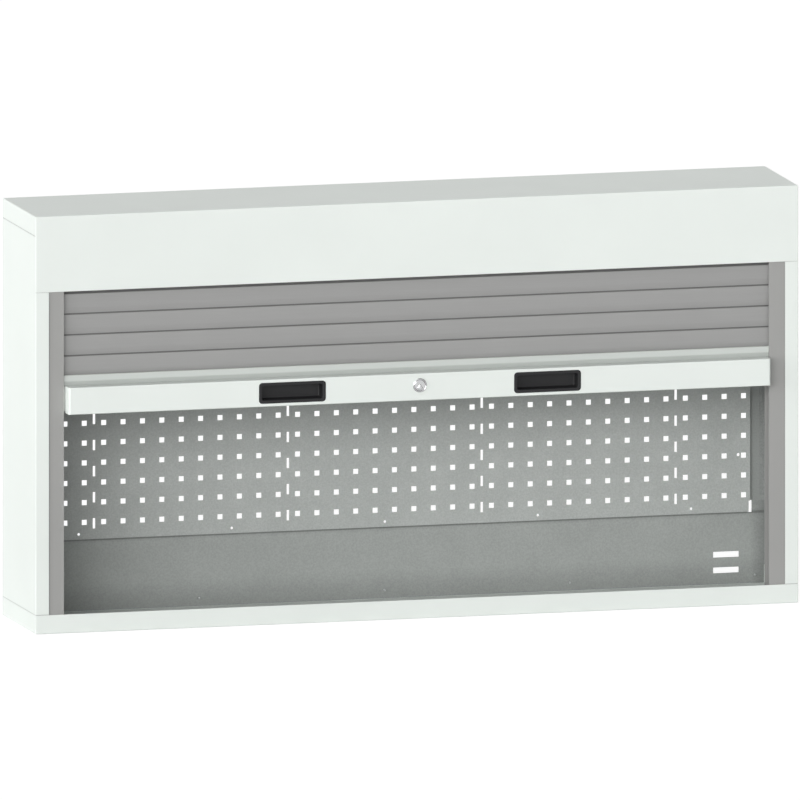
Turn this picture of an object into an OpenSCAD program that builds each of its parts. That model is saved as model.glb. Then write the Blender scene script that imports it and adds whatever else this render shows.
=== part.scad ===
// Roll front tool cabinet: a folded steel case, open at the front, with a slatted shutter
// that runs in two side guides and winds up behind the fascia, and a perforated tool plate
// at the back. The shutter stands half open.
//
// Frame: X to the right, Y from front to back, Z up. The origin is at the middle of the
// outline, at floor level. The parts are drawn with Y counted from the front plane, which
// holds the fascia, the side flanges and the tray's front lip.

/* [Case] */
// Width over the side panels
cabinet_w = 1495; // [1300:1:1700]
// Height from the floor to the top
cabinet_h = 800; // [780:1:900]
// Depth from the front plane to the back
cabinet_d = 243; // [235:1:320]
// Thickness of the folded sheet
sheet = 1.2; // [1:0.1:1.4]
// Outer radius of the folded edges
fold_r = 2; // [1.6:0.1:3]
// Height of the fascia at the front of the cover
fascia_h = 145; // [130:1:160]
// Height of the cover's side and rear lips
cover_lip_h = 37; // [25:1:50]
// Height of the base tray's lips
tray_lip_h = 36; // [25:1:50]
// Width of the side panels' front flange
front_flange_w = 26; // [20:1:35]
// Width of the side panels' rear flange
rear_flange_w = 36; // [34:1:38]
// Open seam between the case sheets
seam = 0.6; // [0.3:0.1:1]

/* [Back] */
// Distance of the perforated plate's edge from the outer side face
plate_inset = 31.5; // [30:0.5:33]
// Air behind the perforated plate
plate_standoff = 5.6; // [4:0.1:8]
// Height of the perforated plate's lower edge
plate_bottom = 140; // [120:1:160]
// Pitch of the square holes
hole_pitch = 38; // [30:1:50]
// Width of a square hole
hole_size = 10; // [8:0.5:12]
// Height of the lowest row of square holes above the plate's lower edge
hole_row_rise = 32.5; // [30:0.5:45]
// Pitch of the upright slots
slot_pitch = 50; // [40:1:60]
// Height of an upright slot
slot_h = 20; // [15:1:25]
// Width of an upright slot
slot_w = 5; // [4:0.5:6]
// Diameter of the holes for wall screws
wall_hole_d = 6; // [5:0.5:7]
// Height between the lower and the upper wall screws
wall_hole_rise = 400; // [300:10:450]

/* [Guides] */
// Distance of the guides' inner edge from the outer side face
guide_inset = 56.3; // [54:0.1:60]
// Depth of the guides' face behind the front plane
guide_front = 3; // [2.8:0.1:4]
// Wall of the guides
guide_wall = 1.5; // [1.2:0.1:1.8]
// Clearance between the slats' ends and the bolt space
slat_end_gap = 19; // [17:0.5:22]

/* [Shutter] */
// Drop of the handle bar's top below the fascia
bar_drop = 181.5; // [175:0.5:190]
// Height of the handle bar
bar_h = 52; // [48:1:60]
// Reach of the handle bar in front of the front plane
bar_reach = 21.5; // [19:0.5:26]
// Depth of the handle bar behind the front plane
bar_back = 6.6; // [6:0.1:7]
// Gap between the handle bar's ends and the guides
bar_end_gap = 3.6; // [2:0.1:5]
// Wall of the handle bar
bar_wall = 1.5; // [1.2:0.1:2]
// Distance of the grips from the middle
grip_x = 250; // [180:5:400]
// Width of a grip
grip_w = 131; // [110:1:160]
// Height of a grip
grip_h = 40; // [36:1:42]
// Depth of a grip's recess
grip_depth = 22; // [16:0.5:22]
// Pitch of the slats
slat_pitch = 40; // [38:0.5:42]
// Thickness of a slat
slat_t = 7; // [6.8:0.1:7.2]
// Depth of the front slats behind the front plane
slat_front = 13; // [12.8:0.1:14]
// Gap between one plane of slats and the next
plane_gap = 0.8; // [0.5:0.1:1.2]
// Overlap of one group of slats on the next when the shutter is down
slat_lap = 4; // [2:0.5:6]

/* [Lock] */
// Height of the lock above the middle of the handle bar
lock_rise = 3; // [0:0.5:4]
// Outer diameter of the lock
lock_d = 26.5; // [26:0.5:29]
// Diameter of the turning plug
lock_plug_d = 21; // [18:0.5:21]
// Height of the lock's rim in front of the handle bar
lock_proud = 2; // [1:0.5:3]
// Module of the lock pinion's teeth
tooth_module = 1.5; // [1.4:0.05:1.6]
// Number of teeth on the lock pinion
tooth_count = 12; // [12:1:13]

/* [Barrel] */
// Depth of the barrel's axis behind the front plane
barrel_y = 100; // [90:1:120]
// Distance of the barrel's axis below the top
barrel_drop = 60; // [55:1:70]
// Outer diameter of the barrel tube
barrel_d = 50; // [45:1:54]
// Wall of the barrel tube
barrel_wall = 1.5; // [1.2:0.1:2]
// Diameter of the fixed shaft inside the barrel
shaft_d = 12; // [10:0.5:14]

/* [Hidden] */
$fn = 48;

// Clearances
running_gap = 0.3;
bore_gap = 0.05;
screw_gap = 0.1;
cut = 1;

// Paint and material colours
white = [0.91, 0.93, 0.91];
guide_grey = [0.62, 0.62, 0.61];
slat_grey = [0.6, 0.6, 0.59];
back_grey = [0.58, 0.6, 0.59];
steel = [0.7, 0.71, 0.72];
chrome = [0.85, 0.86, 0.88];
black = [0.16, 0.16, 0.17];
nylon = [0.8, 0.8, 0.76];

// Case
front_y = -(cabinet_d - bar_reach - lock_proud) / 2;
half_w = cabinet_w / 2;
wall_x = half_w - sheet;
fold_in = fold_r - sheet;
side_bottom = tray_lip_h + seam;
side_top = cabinet_h - cover_lip_h - seam;
fascia_bottom = cabinet_h - fascia_h;
tab_lap = 10;
tab_x = wall_x - sheet;
tab_back_gap = 20;
back_face = cabinet_d - sheet;
hem_depth = 7;
rear_tab_w = 17;
floor_top = sheet;
edge_gap = 1;
rear_screw_d = 4;
rear_screw_head_d = 7;
rear_screw_l = 7;

// Back
plate_x = half_w - plate_inset;
plate_back = back_face - plate_standoff;
plate_front = plate_back - sheet;
plate_top = cabinet_h - sheet - 3 * edge_gap;
plate_edge = 10;
hole_cols = floor((plate_x - plate_edge + hole_pitch / 2) / hole_pitch);
first_row = plate_bottom + hole_row_rise;
hole_rows = floor((plate_top - plate_edge - cover_lip_h - first_row) / hole_pitch) + 1;
slot_rows = floor((plate_top - plate_edge - cover_lip_h - first_row) / slot_pitch) + 1;
slot_bottom = plate_bottom + 2 * plate_edge;
slot_cols = [5, 15];
small_hole_d = 5;
small_hole_pitch = 300;
small_hole_z = plate_bottom + plate_edge;
wall_hole_x = plate_x - 23.5;
wall_hole_z = plate_bottom + 110;
lower_top = plate_bottom + 5;
panel_x = tab_x - edge_gap / 2;
relief_w = 7.5;
relief_x = plate_x - 3;
relief_bottom = plate_bottom - 2;
relief_h = 23;
relief_top = relief_bottom + relief_h;
cable_slot_w = 50;
cable_slot_h = 11;
cable_slot_x = plate_x - 71;
cable_slot_z = [29, 59];
hook_pitch = 60;
hook_notch_h = 12;
hook_notch_w = 5;
hook_strip_w = 10;
hook_strip_d = 15;
hook_strip_bottom = plate_bottom + 30;
hook_strip_top = side_top - 20;

// Slat section, with its front at 0 and its lower edge at 0
tongue_h = 3.6;
tongue_t = 2;
tongue_y = slat_t - 3.4;
slat_bevel = 2.6;
slat_bevel_h = 11;
slat_head = 0.6;
slat_round = 2.4;
slat_wall = 1.2;
tongue_play = 0.8;

// Guides
guide_x = half_w - guide_inset;
guide_back_w = 11.3;
web_x = wall_x - guide_back_w;
slat_x = web_x - slat_end_gap;
plane_step = slat_t + plane_gap;
groove_back = slat_front + 3 * plane_step;
guide_back = groove_back + guide_wall;
guide_lip_d = 5.6;
guide_flange_d = 22;
stop_t = 3;
guide_top = cabinet_h - sheet - stop_t - 0.8;
stud_pitch = 150;
stud_end = 40;
stud_d = 5;
stud_nut_d = 9;
stud_nut_t = 3;

// Shutter
bar_top = fascia_bottom - bar_drop;
bar_z = bar_top - bar_h;
bar_mid = bar_z + bar_h / 2;
bar_x = guide_x - bar_end_gap;
bar_d = bar_reach + bar_back;
cap_t = 5;
cap_r = 4;
cap_plug = 10;
seal_h = 2.5;
seal_d = 10;
bar_screw_d = 4;
bar_screw_head_d = 8;
bar_screw_head_t = 2.2;
rail_bottom = bar_z + 3.5;
rail_top = bar_top + 17;
rail_step = slat_front - 1.1;
rail_back = slat_front + slat_t;
rail_wall = 1.4;
rail_neck = bar_top - 1;
rail_notch_d = 2.8;
rail_notch_low = 2;
rail_notch_high = 9;
rail_lip_h = 2.2;
rail_lip_bevel = 0.8;
rail_x = guide_x - running_gap;
rail_plug_l = 40;
slats_front = 4;
slats_behind = 5;
stop_z = cabinet_h - sheet - stop_t - running_gap;
travel_down = bar_z - seal_h - tray_lip_h - 0.5;
travel_up = stop_z - (rail_top + slats_front * slat_pitch + tongue_h);
behind_h = slats_behind * slat_pitch;
open_bottom = stop_z - behind_h - tongue_h;
middle_down = rail_top + slats_front * slat_pitch - travel_down - slat_lap;
upper_down = middle_down + behind_h - slat_lap;
middle_ratio = (open_bottom - middle_down) / (travel_down + travel_up);
upper_ratio = (open_bottom - upper_down) / (travel_down + travel_up);
middle_bottom = middle_down + middle_ratio * travel_down;
upper_bottom = upper_down + upper_ratio * travel_down;

// Grips
grip_r = 6.5;
grip_rim = 6;
grip_wall = 1.5;
grip_rim_t = 0.8;

// Lock
lock_z = bar_mid + lock_rise;
lock_body_d = lock_plug_d + 3;
lock_body_l = bar_d - bar_wall - 4;
lock_nut_t = 5;
lock_nut_d = lock_body_d + 9;
spindle_d = 8;
spindle_hole_d = spindle_d + 2;
key_d = 4.4;
key_w = 1.6;
key_drop = 6;
key_depth = 9;
key_z = -lock_plug_d / 8;
pitch_r = tooth_module * tooth_count / 2;
tooth_gap = 0.35;
tooth_tip = 0.9 * tooth_module;
tooth_root = 1.2 * tooth_module;
rack_tip = 0.8 * tooth_module;
rack_teeth = 5;
bolt_t = 3;
bolt_h = 7;
bolt_y = rail_back - rail_wall - 1.3 - bolt_t;
bolt_rise = pitch_r + 1.25 * tooth_module;
bolt_end = slat_x - 2;
bolt_start = 16;
keeper_gap = 0.5;
keeper_t = 4;
keeper_foot = 24;
keeper_margin = 3;
keeper_set_back = 2;

// Barrel
barrel_z = cabinet_h - barrel_drop;
barrel_half = guide_x - 1;
barrel_bore = barrel_d - 2 * barrel_wall;
plug_l = 18;
plug_flange_t = 4;
spring_d = 30;
spring_bore = 2 * shaft_d + 0.6;
spring_l = 320;
plug_boss_d = spring_bore - 2 * running_gap;
plug_boss_l = 20;
anchor_l = 14;
spring_end = barrel_half - plug_l - 2;
bracket_t = 3;
hub_d = 26;
hub_l = 10;
bracket_d = 78;
bracket_h = 92;
bracket_screw_d = 6;
bracket_screw_edge = 12;
bracket_screw_z = side_top - barrel_z + 10;
bracket_nut_d = 11;
bracket_nut_t = 5;
bracket_screw_end = 2;

// ---------------------------------------------------------------- shared shapes

// Moves a part that is drawn from the front plane into the frame
module from_front() {
    translate([0, front_y, 0]) children();
}

// Draws a part for the right side, or its mirror image for the left
module on_side(side) {
    mirror([side < 0 ? 1 : 0, 0, 0]) children();
}

// A flat rectangle from the origin with round corners
module rounded_rect(size, r) {
    translate([r, 0]) square([size.x - 2 * r, size.y]);
    translate([0, r]) square([size.x, size.y - 2 * r]);
    for (x = [r, size.x - r], y = [r, size.y - r])
        translate([x, y]) circle(r);
}

// Extrudes an outline drawn in Y and Z along X, over both sides of the middle
module along_x(length) {
    translate([-length / 2, 0, 0]) rotate([90, 0, 90]) linear_extrude(length) children();
}

// A cylinder from y0 back to y1
module along_y(y0, y1, d) {
    translate([0, y0, 0]) rotate([-90, 0, 0]) cylinder(h = y1 - y0, d = d);
}

// A cylinder from x0 to x1
module across(x0, x1, d) {
    translate([x0, 0, 0]) rotate([0, 90, 0]) cylinder(h = x1 - x0, d = d);
}

// A block from the origin with all its edges rounded
module folded_block(size, r) {
    intersection() {
        linear_extrude(size.z) rounded_rect([size.x, size.y], r);
        translate([0, size.y, 0]) rotate([90, 0, 0])
            linear_extrude(size.y) rounded_rect([size.x, size.z], r);
        rotate([90, 0, 90]) linear_extrude(size.x) rounded_rect([size.y, size.z], r);
    }
}

// A folded lid of the case's plan, with its top at 0 and its lips hanging down to -lip_h
module folded_lid(lip_h) {
    translate([-half_w, 0, 0]) difference() {
        translate([0, 0, -lip_h - fold_r]) folded_block([cabinet_w, cabinet_d, lip_h + fold_r], fold_r);
        translate([sheet, sheet, -lip_h - 2 * fold_r - sheet])
            folded_block([cabinet_w - 2 * sheet, cabinet_d - 2 * sheet, lip_h + 2 * fold_r], fold_in);
        translate([-cut, -cut, -lip_h - fold_r - cut])
            cube([cabinet_w + 2 * cut, cabinet_d + 2 * cut, fold_r + cut]);
    }
}

// The outline of a countersunk rear screw, grown by a gap all round
module rear_screw(gap) {
    translate([0, cabinet_d, 0]) rotate([90, 0, 0]) {
        cylinder(h = sheet, d1 = rear_screw_head_d + 2 * gap, d2 = rear_screw_d + 2 * gap);
        cylinder(h = rear_screw_l, d = rear_screw_d + 2 * gap);
    }
}

// Places of the rear screws in the cover's lip
module at_cover_screws() {
    for (side = [-1, 1])
        translate([side * (plate_x + plate_edge), 0, cabinet_h - cover_lip_h / 2]) children();
}

// Places of the rear screws in the tray's lip
module at_tray_screws() {
    for (x = [-1, -0.5, 0, 0.5, 1])
        translate([x * (plate_x + plate_edge), 0, tray_lip_h / 2]) children();
}

// The relief cut at the lower corners of the back, from edge to edge of the sheets
module corner_relief(x0) {
    translate([x0, plate_front - cut, relief_bottom])
        cube([relief_x + relief_w - x0, cabinet_d - plate_front + 2 * cut, relief_h]);
}

// The section of one slat
module slat_section() {
    tongue_back = tongue_y + tongue_t;
    slot_front = tongue_y - running_gap;
    slot_back = tongue_back + running_gap;
    head = slat_pitch - slat_head;
    difference() {
        polygon([
            [slat_bevel, 0], [0, slat_bevel_h], [0, head - slat_round],
            [slat_round / 3, head - slat_round / 3], [slat_round, head],
            [tongue_y, head], [tongue_y, slat_pitch + tongue_h], [tongue_back, slat_pitch + tongue_h],
            [tongue_back, head], [slat_t, head], [slat_t, 0], [slot_back, 0],
            [slot_back, tongue_h + tongue_play], [slot_front, tongue_h + tongue_play], [slot_front, 0]
        ]);
        translate([slat_wall, slat_bevel_h])
            square([slat_t - 2 * slat_wall, head - slat_bevel_h - slat_round]);
    }
}

// One slat with its lower edge at z, in the given plane behind the front one
module slat(z, plane) {
    color(slat_grey) from_front()
        translate([0, slat_front + plane * plane_step, z]) along_x(2 * slat_x) slat_section();
}

// ---------------------------------------------------------------- case

// The part of the cover's folded sheet that lies between two depths and two heights
module cover_sheet(y, z) {
    intersection() {
        translate([0, 0, cabinet_h]) folded_lid(fascia_h);
        translate([-half_w - cut, y[0], z[0]]) cube([cabinet_w + 2 * cut, y[1] - y[0], z[1] - z[0]]);
    }
}

module top_cover() {
    color(white) from_front()
        cover_sheet([-cut, cabinet_d + cut], [cabinet_h - fold_r, cabinet_h + cut]);
}

module fascia() {
    color(white) from_front() {
        cover_sheet([-cut, fold_r], [fascia_bottom - cut, cabinet_h - fold_r]);
        // Hem along the lower edge
        translate([-guide_x + edge_gap, sheet / 2, fascia_bottom])
            cube([2 * (guide_x - edge_gap), hem_depth + sheet / 2, sheet]);
    }
}

module cover_rear_lip() {
    color(white) from_front() difference() {
        cover_sheet([cabinet_d - fold_r, cabinet_d + cut], [cabinet_h - cover_lip_h, cabinet_h - fold_r]);
        at_cover_screws() rear_screw(screw_gap);
    }
}

module cover_end_lips() {
    color(white) from_front()
        cover_sheet([fold_r, cabinet_d - fold_r], [cabinet_h - cover_lip_h, cabinet_h - fold_r]);
}

module base_tray() {
    color(white) from_front() difference() {
        mirror([0, 0, 1]) folded_lid(tray_lip_h);
        at_tray_screws() rear_screw(screw_gap);
        // Notches behind the lower cable slots
        for (side = [-1, 1])
            translate([side * (cable_slot_x + cable_slot_w / 2) - cable_slot_w / 2, back_face - cut,
                cable_slot_z[0] - cable_slot_h / 2])
                cube([cable_slot_w, sheet + 2 * cut, tray_lip_h]);
    }
}

module side_panel(side) {
    color(white) from_front() on_side(side) difference() {
        union() {
            difference() {
                // Wall with its front and rear flanges
                translate([half_w, 0, side_bottom]) mirror([1, 0, 0])
                    linear_extrude(side_top - side_bottom) difference() {
                        rounded_rect([2 * rear_flange_w, cabinet_d], fold_r);
                        translate([sheet, sheet])
                            rounded_rect([2 * rear_flange_w, cabinet_d - 2 * sheet], fold_in);
                        translate([front_flange_w, -cut]) square([2 * rear_flange_w, cabinet_d / 2]);
                        translate([rear_flange_w, cabinet_d / 2])
                            square([2 * rear_flange_w, cabinet_d / 2 + cut]);
                    }
                // Room for the fascia
                translate([half_w - 2 * rear_flange_w, -cut, fascia_bottom - seam])
                    cube([2 * rear_flange_w + cut, fold_r + seam + cut, fascia_h]);
            }
            // Set-in tabs behind the tray's lip, the cover's lip and the fascia
            for (z = [
                [floor_top + edge_gap, side_bottom + tab_lap],
                [side_top - tab_lap, cabinet_h - sheet - edge_gap]
            ])
                translate([tab_x, guide_back + guide_flange_d + 2 * edge_gap, z[0]])
                    cube([sheet, back_face - guide_back - guide_flange_d - tab_back_gap, z[1] - z[0]]);
            translate([half_w - front_flange_w, sheet, fascia_bottom - tab_lap])
                cube([front_flange_w - fold_r, sheet, 3 * tab_lap]);
            // Set-in tab behind the cover's rear lip
            translate([plate_x + 2 * edge_gap, back_face - sheet, side_top - 2 * tab_lap])
                cube([rear_tab_w, sheet, cover_lip_h + tab_lap]);
        }
        corner_relief(plate_x - 2 * plate_edge);
        at_cover_screws() rear_screw(screw_gap);
    }
}

module rear_panel_lower() {
    color(back_grey) from_front() difference() {
        union() {
            translate([-panel_x, back_face - sheet, floor_top + edge_gap])
                cube([2 * panel_x, sheet, lower_top - floor_top - edge_gap]);
            // Ears beside the perforated plate, up to the top of the corner relief
            for (side = [-1, 1]) on_side(side)
                translate([relief_x, back_face - sheet, lower_top - sheet])
                    cube([panel_x - relief_x, sheet, relief_top - lower_top + sheet]);
            // Stiffening fold along the upper edge, between the side panels' rear flanges
            translate([-half_w + rear_flange_w + edge_gap, back_face - sheet / 2, lower_top - sheet])
                cube([cabinet_w - 2 * rear_flange_w - 2 * edge_gap, 1.5 * sheet, sheet]);
        }
        for (side = [-1, 1], z = cable_slot_z)
            translate([side * (cable_slot_x + cable_slot_w / 2), cabinet_d, z])
                cube([cable_slot_w, 6 * sheet, cable_slot_h], center = true);
        for (side = [-1, 1]) on_side(side) corner_relief(relief_x);
        at_tray_screws() rear_screw(screw_gap);
    }
}

// The holes of the perforated plate, drawn flat in X and Z
module plate_holes() {
    for (side = [-1, 1], i = [0 : hole_cols - 1], k = [0 : hole_rows - 1])
        translate([side * (i + 0.5) * hole_pitch, first_row + k * hole_pitch])
            square(hole_size, center = true);
    for (side = [-1, 1], c = slot_cols, k = [0 : slot_rows - 1])
        translate([side * c * hole_pitch, slot_bottom + slot_h / 2 + k * slot_pitch])
            square([slot_w, slot_h], center = true);
    for (i = [-2 : 2])
        translate([i * small_hole_pitch, small_hole_z]) circle(d = small_hole_d);
    for (side = [-1, 1], z = [0, wall_hole_rise])
        translate([side * wall_hole_x, wall_hole_z + z]) circle(d = wall_hole_d);
}

module perforated_panel() {
    color(back_grey) from_front() difference() {
        union() {
            translate([0, plate_back, 0]) rotate([90, 0, 0]) linear_extrude(sheet) difference() {
                translate([-plate_x, plate_bottom]) square([2 * plate_x, plate_top - plate_bottom]);
                plate_holes();
            }
            // Folded edges that stand the plate off the side panels and the lower panel
            for (side = [-1, 1]) on_side(side)
                translate([plate_x - sheet, plate_front + sheet / 2, plate_bottom])
                    cube([sheet, back_face - plate_front - sheet / 2, plate_top - plate_bottom]);
            translate([-relief_x, plate_front + sheet / 2, plate_bottom])
                cube([2 * relief_x, back_face - 1.5 * sheet - plate_front, sheet]);
        }
        for (side = [-1, 1]) on_side(side) corner_relief(relief_x);
    }
}

module hook_strip(side) {
    color(back_grey) from_front() on_side(side) difference() {
        union() {
            translate([wall_x - sheet, back_face - hook_strip_d, hook_strip_bottom])
                cube([sheet, hook_strip_d - fold_in, hook_strip_top - hook_strip_bottom]);
            translate([wall_x - hook_strip_w, back_face - sheet - fold_in, hook_strip_bottom])
                cube([hook_strip_w, sheet, hook_strip_top - hook_strip_bottom]);
        }
        for (z = [hook_strip_bottom + hook_pitch : hook_pitch : hook_strip_top - hook_notch_h])
            translate([wall_x - hook_strip_w - cut, back_face - 2 * sheet - fold_in, z])
                cube([hook_notch_w + cut, 4 * sheet, hook_notch_h]);
    }
}

module rear_screws() {
    color(steel) from_front() {
        at_cover_screws() rear_screw(0);
        at_tray_screws() rear_screw(0);
    }
}

// ---------------------------------------------------------------- guides

module guide_rail(side) {
    color(guide_grey) from_front() on_side(side) difference() {
        translate([0, 0, floor_top + edge_gap]) linear_extrude(guide_top - floor_top - edge_gap) {
            // Web that closes the bolt space, and the rear leg
            translate([web_x, guide_front + guide_wall])
                square([guide_wall, guide_back - guide_front - guide_wall]);
            translate([guide_x, groove_back]) square([wall_x - guide_x, guide_wall]);
            // Flange along the side panel
            translate([wall_x - guide_wall, groove_back]) square([guide_wall, guide_wall + guide_flange_d]);
        }
        at_guide_studs() across(wall_x - 2 * guide_wall, wall_x, stud_d);
    }
}

// The front legs of both guides, each with the lip that keeps the slats in
module guide_faces() {
    color(guide_grey) from_front() for (side = [-1, 1]) on_side(side)
        translate([0, 0, floor_top + edge_gap]) linear_extrude(guide_top - floor_top - edge_gap) {
            translate([guide_x, guide_front]) square([wall_x - guide_x, guide_wall]);
            translate([guide_x, guide_front]) square([guide_wall, guide_lip_d]);
        }
}

// Places of the studs that hold a guide
module at_guide_studs() {
    for (z = [tray_lip_h + stud_end : stud_pitch : side_top - stud_end])
        translate([0, guide_back + guide_flange_d / 2, z]) children();
}

module guide_studs() {
    color(steel) from_front() for (side = [-1, 1]) on_side(side) at_guide_studs() {
        across(wall_x - guide_wall - stud_nut_t - edge_gap, wall_x, stud_d);
        translate([wall_x - guide_wall - stud_nut_t, 0, 0]) rotate([0, 90, 0])
            cylinder(h = stud_nut_t, d = stud_nut_d, $fn = 6);
    }
}

module top_stops() {
    color(black) from_front() for (side = [-1, 1]) on_side(side)
        translate([guide_x + guide_wall, slat_front, stop_z + running_gap])
            cube([web_x - guide_x - guide_wall, groove_back - slat_front, stop_t]);
}

// A keeper on the guide's web, just above the lock bar when the shutter is down
module lock_keeper(side) {
    bolt_top = lock_z - travel_down + (side > 0 ? bolt_rise + bolt_h : -bolt_rise);
    keeper_d = bolt_t + 2 * keeper_margin;
    color(steel) from_front() on_side(side)
        translate([0, bolt_y - keeper_margin, bolt_top + keeper_gap]) {
            translate([slat_x + keeper_set_back, 0, 0])
                cube([web_x - slat_x - keeper_set_back, keeper_d, keeper_t]);
            translate([web_x - keeper_t / 2, 0, 0]) cube([keeper_t / 2, keeper_d, keeper_foot]);
        }
}

// ---------------------------------------------------------------- barrel

// Moves a shape from the barrel's axis into place
module at_barrel() {
    translate([0, front_y + barrel_y, barrel_z]) children();
}

// Places of the nuts on a barrel bracket
module at_bracket_nuts() {
    for (y = [-1, 1])
        translate([0, y * (bracket_d / 2 - bracket_screw_edge), bracket_screw_z]) children();
}

module barrel_bracket(side) {
    color(steel) at_barrel() on_side(side) difference() {
        union() {
            translate([tab_x - bracket_t, -bracket_d / 2, -bracket_h / 2])
                cube([bracket_t, bracket_d, bracket_h]);
            across(tab_x - bracket_t - hub_l, tab_x - bracket_t, hub_d);
        }
        across(tab_x - bracket_t - hub_l - cut, tab_x + cut, shaft_d);
        at_bracket_nuts() across(tab_x - bracket_t - cut, tab_x + cut, bracket_screw_d);
    }
}

module bracket_nuts() {
    color(steel) at_barrel() for (side = [-1, 1]) on_side(side) at_bracket_nuts() {
        across(tab_x - bracket_t - bracket_nut_t - bracket_screw_end, tab_x, bracket_screw_d);
        translate([tab_x - bracket_t - bracket_nut_t, 0, 0]) rotate([0, 90, 0])
            cylinder(h = bracket_nut_t, d = bracket_nut_d, $fn = 6);
    }
}

module barrel_shaft() {
    color(steel) at_barrel() across(-tab_x, tab_x, shaft_d);
}

// The spring lies between the barrel plug's boss and an anchor that is fixed on the shaft
module torsion_spring(side) {
    color(steel) at_barrel() on_side(side) difference() {
        across(spring_end - spring_l, spring_end, spring_d);
        across(spring_end - spring_l - cut, spring_end + cut, spring_bore);
    }
}

module spring_anchors() {
    color(steel) at_barrel() for (side = [-1, 1]) on_side(side) difference() {
        across(spring_end - spring_l, spring_end - spring_l + anchor_l, spring_bore);
        across(spring_end - spring_l - cut, spring_end - spring_l + anchor_l + cut, shaft_d);
    }
}

module barrel_tube() {
    color(steel) at_barrel() difference() {
        across(-barrel_half, barrel_half, barrel_d);
        across(-barrel_half - cut, barrel_half + cut, barrel_bore);
    }
}

module barrel_plug(side) {
    color(black) at_barrel() on_side(side) difference() {
        union() {
            across(barrel_half - plug_l, barrel_half, barrel_bore);
            across(barrel_half, barrel_half + plug_flange_t, barrel_d);
            across(barrel_half - plug_l - plug_boss_l, barrel_half - plug_l, plug_boss_d);
        }
        across(barrel_half - plug_l - plug_boss_l - cut, barrel_half + plug_flange_t + cut,
            shaft_d + 2 * bore_gap);
    }
}

// The last slats, which never leave the barrel
module wound_slats() {
    color(slat_grey) at_barrel() for (turn = [0 : 90 : 270]) rotate([turn, 0, 0])
        translate([0, -barrel_d / 2 - bore_gap - slat_t, -slat_pitch / 2])
            along_x(2 * slat_x) slat_section();
}

// ---------------------------------------------------------------- shutter

// The handle bar's outline in Y and Z, drawn in by a distance
module bar_section(inset, r) {
    translate([-bar_reach + inset, bar_z + inset])
        rounded_rect([bar_d - 2 * inset, bar_h - 2 * inset], r);
}

// Places of the screws between the handle bar and the bottom rail
module at_bar_screws() {
    for (x = [-0.65, -0.18, 0.18, 0.65])
        translate([x * bar_x, 0, bar_mid]) children();
}

module handle_bar() {
    color(white) from_front() difference() {
        along_x(2 * (bar_x - cap_t)) difference() {
            bar_section(0, fold_r);
            bar_section(bar_wall, 0.5);
        }
        for (side = [-1, 1])
            translate([side * grip_x, -bar_reach, bar_mid]) grip_body(running_gap, bar_wall + cut, cut);
        translate([0, 0, lock_z]) {
            along_y(-bar_reach - cut, -bar_reach + bar_wall + cut, lock_body_d + 2 * screw_gap);
            along_y(bar_back - bar_wall - cut, bar_back + cut, spindle_hole_d);
        }
        at_bar_screws() along_y(bar_back - bar_wall - cut, bar_back + cut, bar_screw_d + 2 * screw_gap);
    }
}

// The body of a grip, grown by a gap, from in front of the bar's face to a depth behind it
module grip_body(gap, depth, front) {
    w = grip_w - 2 * grip_rim + 2 * grip_wall + 2 * gap;
    h = grip_h - 2 * grip_rim + 2 * grip_wall + 2 * gap;
    translate([-w / 2, depth, -h / 2]) rotate([90, 0, 0])
        linear_extrude(depth + front) rounded_rect([w, h], grip_r - grip_wall);
}

module grip(side) {
    w = grip_w - 2 * grip_rim;
    h = grip_h - 2 * grip_rim;
    color(black) from_front() translate([side * grip_x, -bar_reach, bar_mid]) difference() {
        union() {
            translate([-grip_w / 2, 0, -grip_h / 2]) rotate([90, 0, 0])
                linear_extrude(grip_rim_t) rounded_rect([grip_w, grip_h], grip_r);
            grip_body(0, grip_depth + grip_wall, 0);
        }
        translate([-w / 2, grip_depth, -h / 2]) rotate([90, 0, 0])
            linear_extrude(grip_depth + grip_rim_t + cut) rounded_rect([w, h], grip_r - 2 * grip_wall);
    }
}

module bar_cap(side) {
    color(white) from_front() on_side(side) {
        intersection() {
            translate([bar_x - cap_t, 0, 0]) rotate([90, 0, 90])
                linear_extrude(cap_t) bar_section(0, fold_r);
            translate([bar_x - 3 * cap_t, -bar_reach, bar_z])
                linear_extrude(bar_h) rounded_rect([3 * cap_t, bar_d + 2 * cap_r], cap_r);
        }
        translate([bar_x - cap_t - cap_plug, 0, 0]) rotate([90, 0, 90])
            linear_extrude(cap_plug) bar_section(bar_wall + screw_gap, 0.5);
    }
}

module bar_seal() {
    color(black) from_front() translate([-bar_x + cap_r, -seal_d / 2, bar_z - seal_h])
        cube([2 * (bar_x - cap_r), seal_d, seal_h]);
}

module bar_screws() {
    color(steel) from_front() at_bar_screws() {
        along_y(bar_back - bar_wall - bar_screw_head_t, bar_back - bar_wall, bar_screw_head_d);
        along_y(bar_back - bar_wall - bar_screw_head_t / 2, bar_back + rail_wall + 2, bar_screw_d);
    }
}

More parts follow.
